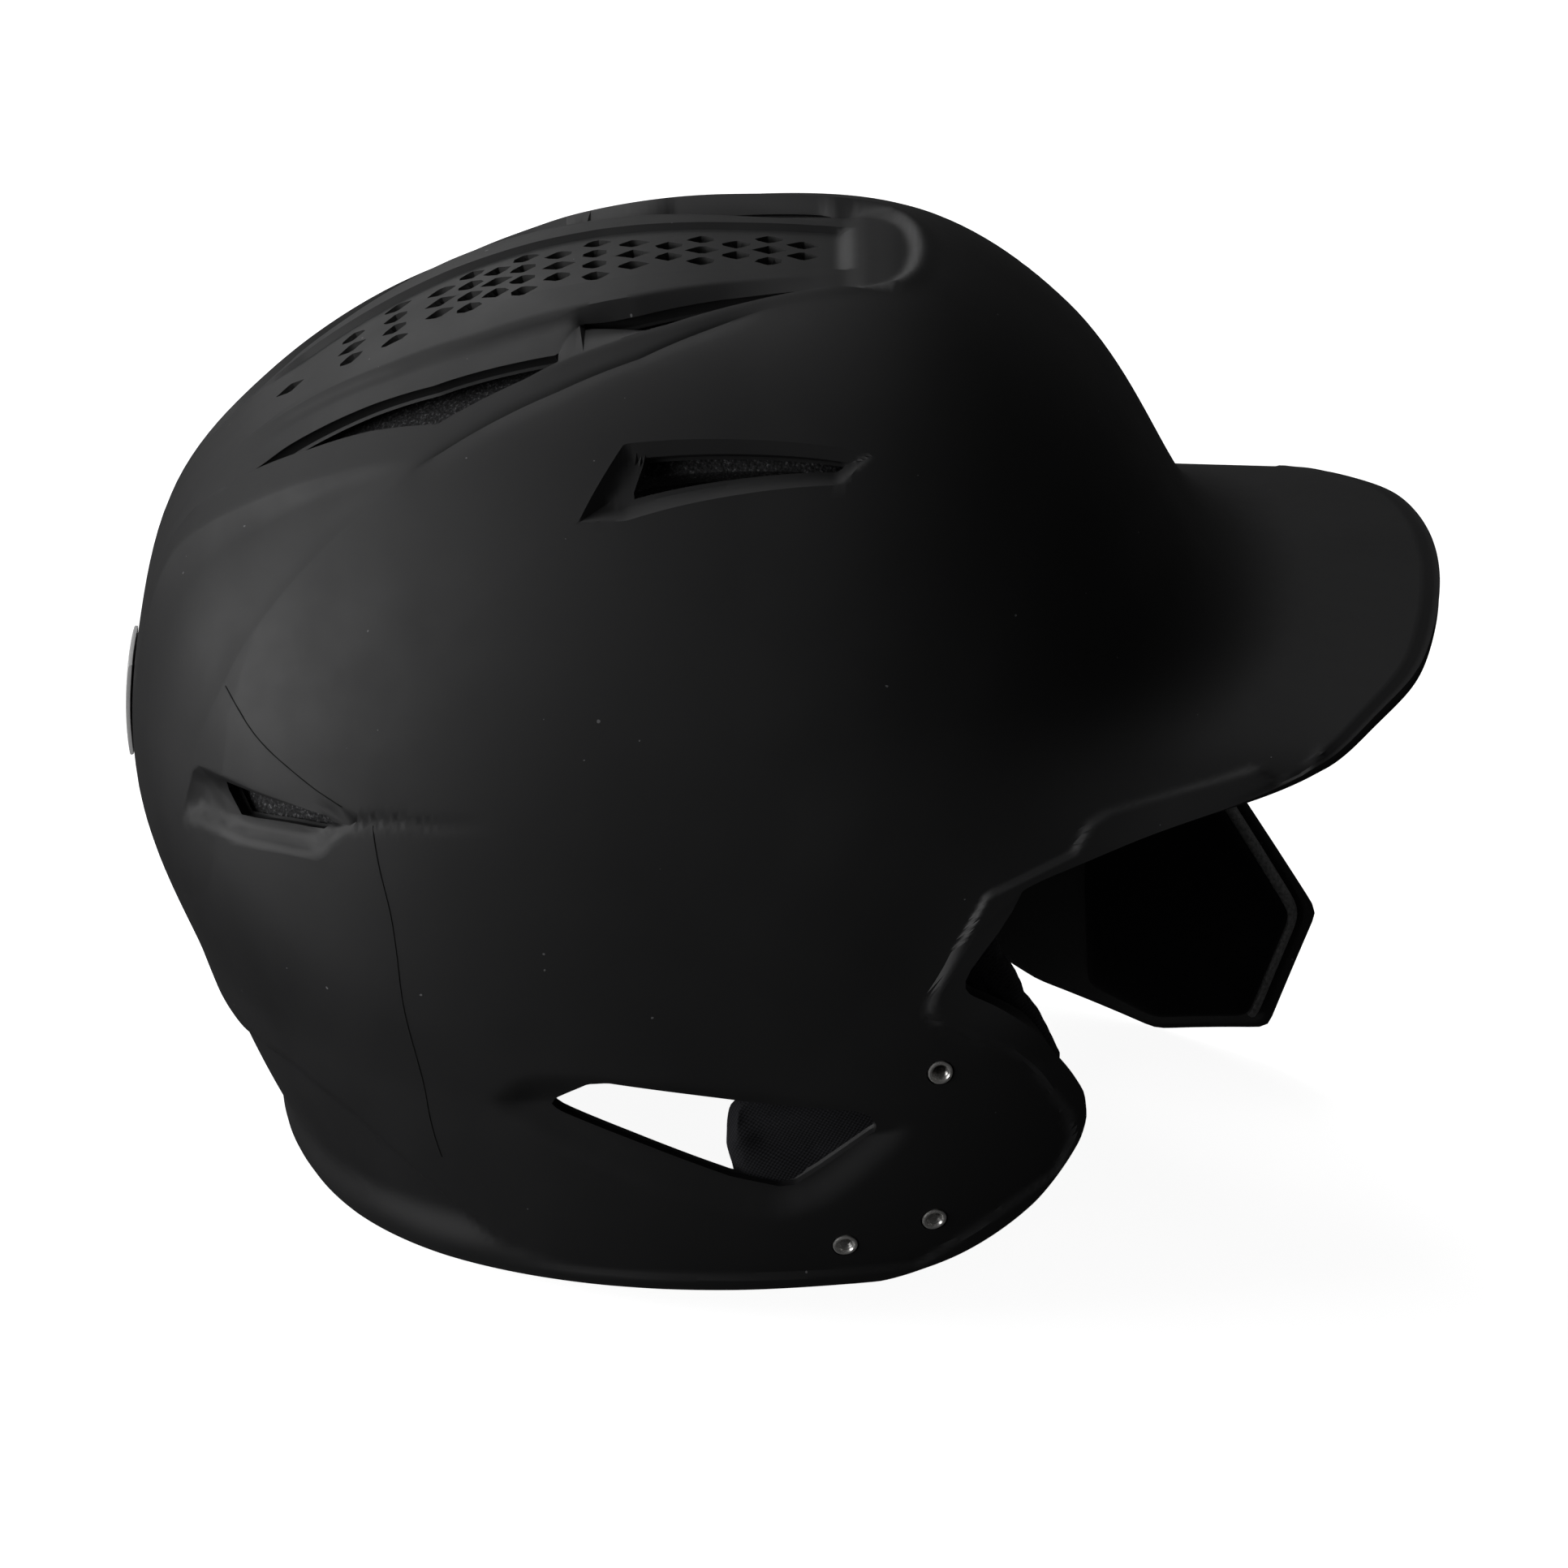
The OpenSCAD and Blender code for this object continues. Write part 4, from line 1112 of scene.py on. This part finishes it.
def layer_cushion(name, a0, a1, f0, f1, d0, d1, node):
    u, v, thick = block_grid(34, 60, 5)
    channels = 0.8 + 0.2 * np.abs(np.cos(v * math.pi * 2.5)) ** 0.5
    half = (d1 - d0) / 2 * 0.94
    top, bottom = under_shell(spread(a0, a1, u), spread(f0, f1, v), (d0 + d1) / 2, half * thick,
                              half * thick * channels)
    cloth_pad(name, top, bottom, node, 3.0, 4.5)


layer_cushion("brow_cushion", 49, 70, -40, 40, WALL + 14, WALL + 23, "brow_pad")
layer_cushion("nape_cushion", 180, 200, -40, 40, WALL + 2.8, WALL + 10.3, "nape_pad")

# ---- thin moulding lines on the side: real moulded lines, their dark colour painted shade of the fine groove ----

def seam_line(name, points_af):
    """Fine closed tube laid on the relief, through (angle, latitude) points; its near-black colour is
    painted shade of the moulded groove.
    """
    af = smooth_loop(points_af, closed=False)
    s = arc_length(af)
    a, f = along(af, s / s[-1], np.linspace(0, 1, 60)).T
    p, n = shell_point(a, f), shell_normal(a, f)
    height = relief(a, f, p, np.full(len(a), 99.0)) + 0.02
    tube(name, p + height[:, None] * n, 0.15, SEAM_PAINTED_SHADE, sides=6)


for side, word in ((-1, "right"), (1, "left")):
    seam_line("moulding_line_side_" + word,
              [(138.2, side * 40.2), (147.7, side * 47.4), (169, side * 53.8), (189.3, side * 54.7)])
    seam_line("moulding_line_panel_" + word,
              [(140.6, side * 23.4), (141.5, side * 28.6), (140.4, side * 34.5), (139.4, side * 37.3)])

# ---- stage, camera, light ----
FAR = 30
floor_mesh = bpy.data.meshes.new("floor")
floor_mesh.from_pydata([(-FAR, -FAR, 0), (FAR, -FAR, 0), (FAR, FAR, 0), (-FAR, FAR, 0)], [], [(0, 1, 2, 3)])
floor_mesh.materials.append(
    material("floor_pale", (0.91, 0.91, 0.91), 0.9, coat((2, 2, [(0.3, grey(0.90)), (0.7, grey(0.92))])),
             Emission_Color=(1, 1, 1, 1), Emission_Strength=0.93))
floor = bpy.data.objects.new("floor", floor_mesh)
bpy.context.scene.collection.objects.link(floor)
floor.location.z = -0.0005
floor.visible_diffuse = False
floor.visible_glossy = False

# the camera looks square at the helmet's right side, from above, in the helmet's own frame
ELEVATION = math.radians(26)
TARGET = np.array([0.0, 0.0, 77.0])
DISTANCE, SENSOR, IMAGE_WIDTH, PIXELS_PER_MM = 2000, 36, 1932, 5.35
look = np.array([0.0, -math.cos(ELEVATION), math.sin(ELEVATION)])
up = np.array([0.0, math.sin(ELEVATION), math.cos(ELEVATION)])
camera_data = bpy.data.cameras.new("camera")
camera_data.lens = SENSOR * PIXELS_PER_MM * DISTANCE / IMAGE_WIDTH
camera_data.sensor_width = SENSOR
camera = bpy.data.objects.new("camera", camera_data)
bpy.context.scene.collection.objects.link(camera)
axes = np.stack([(1.0, 0, 0), up, look], 1)
spot = Matrix.Translation(Vector(to_row(TARGET + DISTANCE * look)))
camera.matrix_world = spot @ Matrix((REST_TURN @ axes).tolist()).to_4x4()
bpy.context.scene.camera = camera

LIGHT_AIM = Vector((0, 0, 0.1))
for name, position, size, power in [
        ("key_left", (-2.5, -0.45, 0.35), (2.6, 2.0), 57), ("top_back", (-1.0, 0.9, 1.9), (1.3, 1.1), 10),
        ("rear_rim", (-1.1, 1.8, 0.95), (1.4, 0.8), 6), ("low_left", (-2.0, -1.4, 0.2), (1.4, 0.35), 11)]:
    data = bpy.data.lights.new(name, "AREA")
    data.shape = "RECTANGLE"
    data.size, data.size_y = size
    data.energy = power
    lamp = bpy.data.objects.new(name, data)
    bpy.context.scene.collection.objects.link(lamp)
    lamp.location = position
    lamp.rotation_euler = (LIGHT_AIM - Vector(position)).to_track_quat("-Z", "Y").to_euler()
world = bpy.data.worlds.new("studio")
world.use_nodes = True
background = world.node_tree.nodes["Background"]
background.inputs["Color"].default_value = (1, 1, 1, 1)
background.inputs["Strength"].default_value = 0.035
bpy.context.scene.world = world
bpy.context.scene.view_settings.view_transform = "Standard"
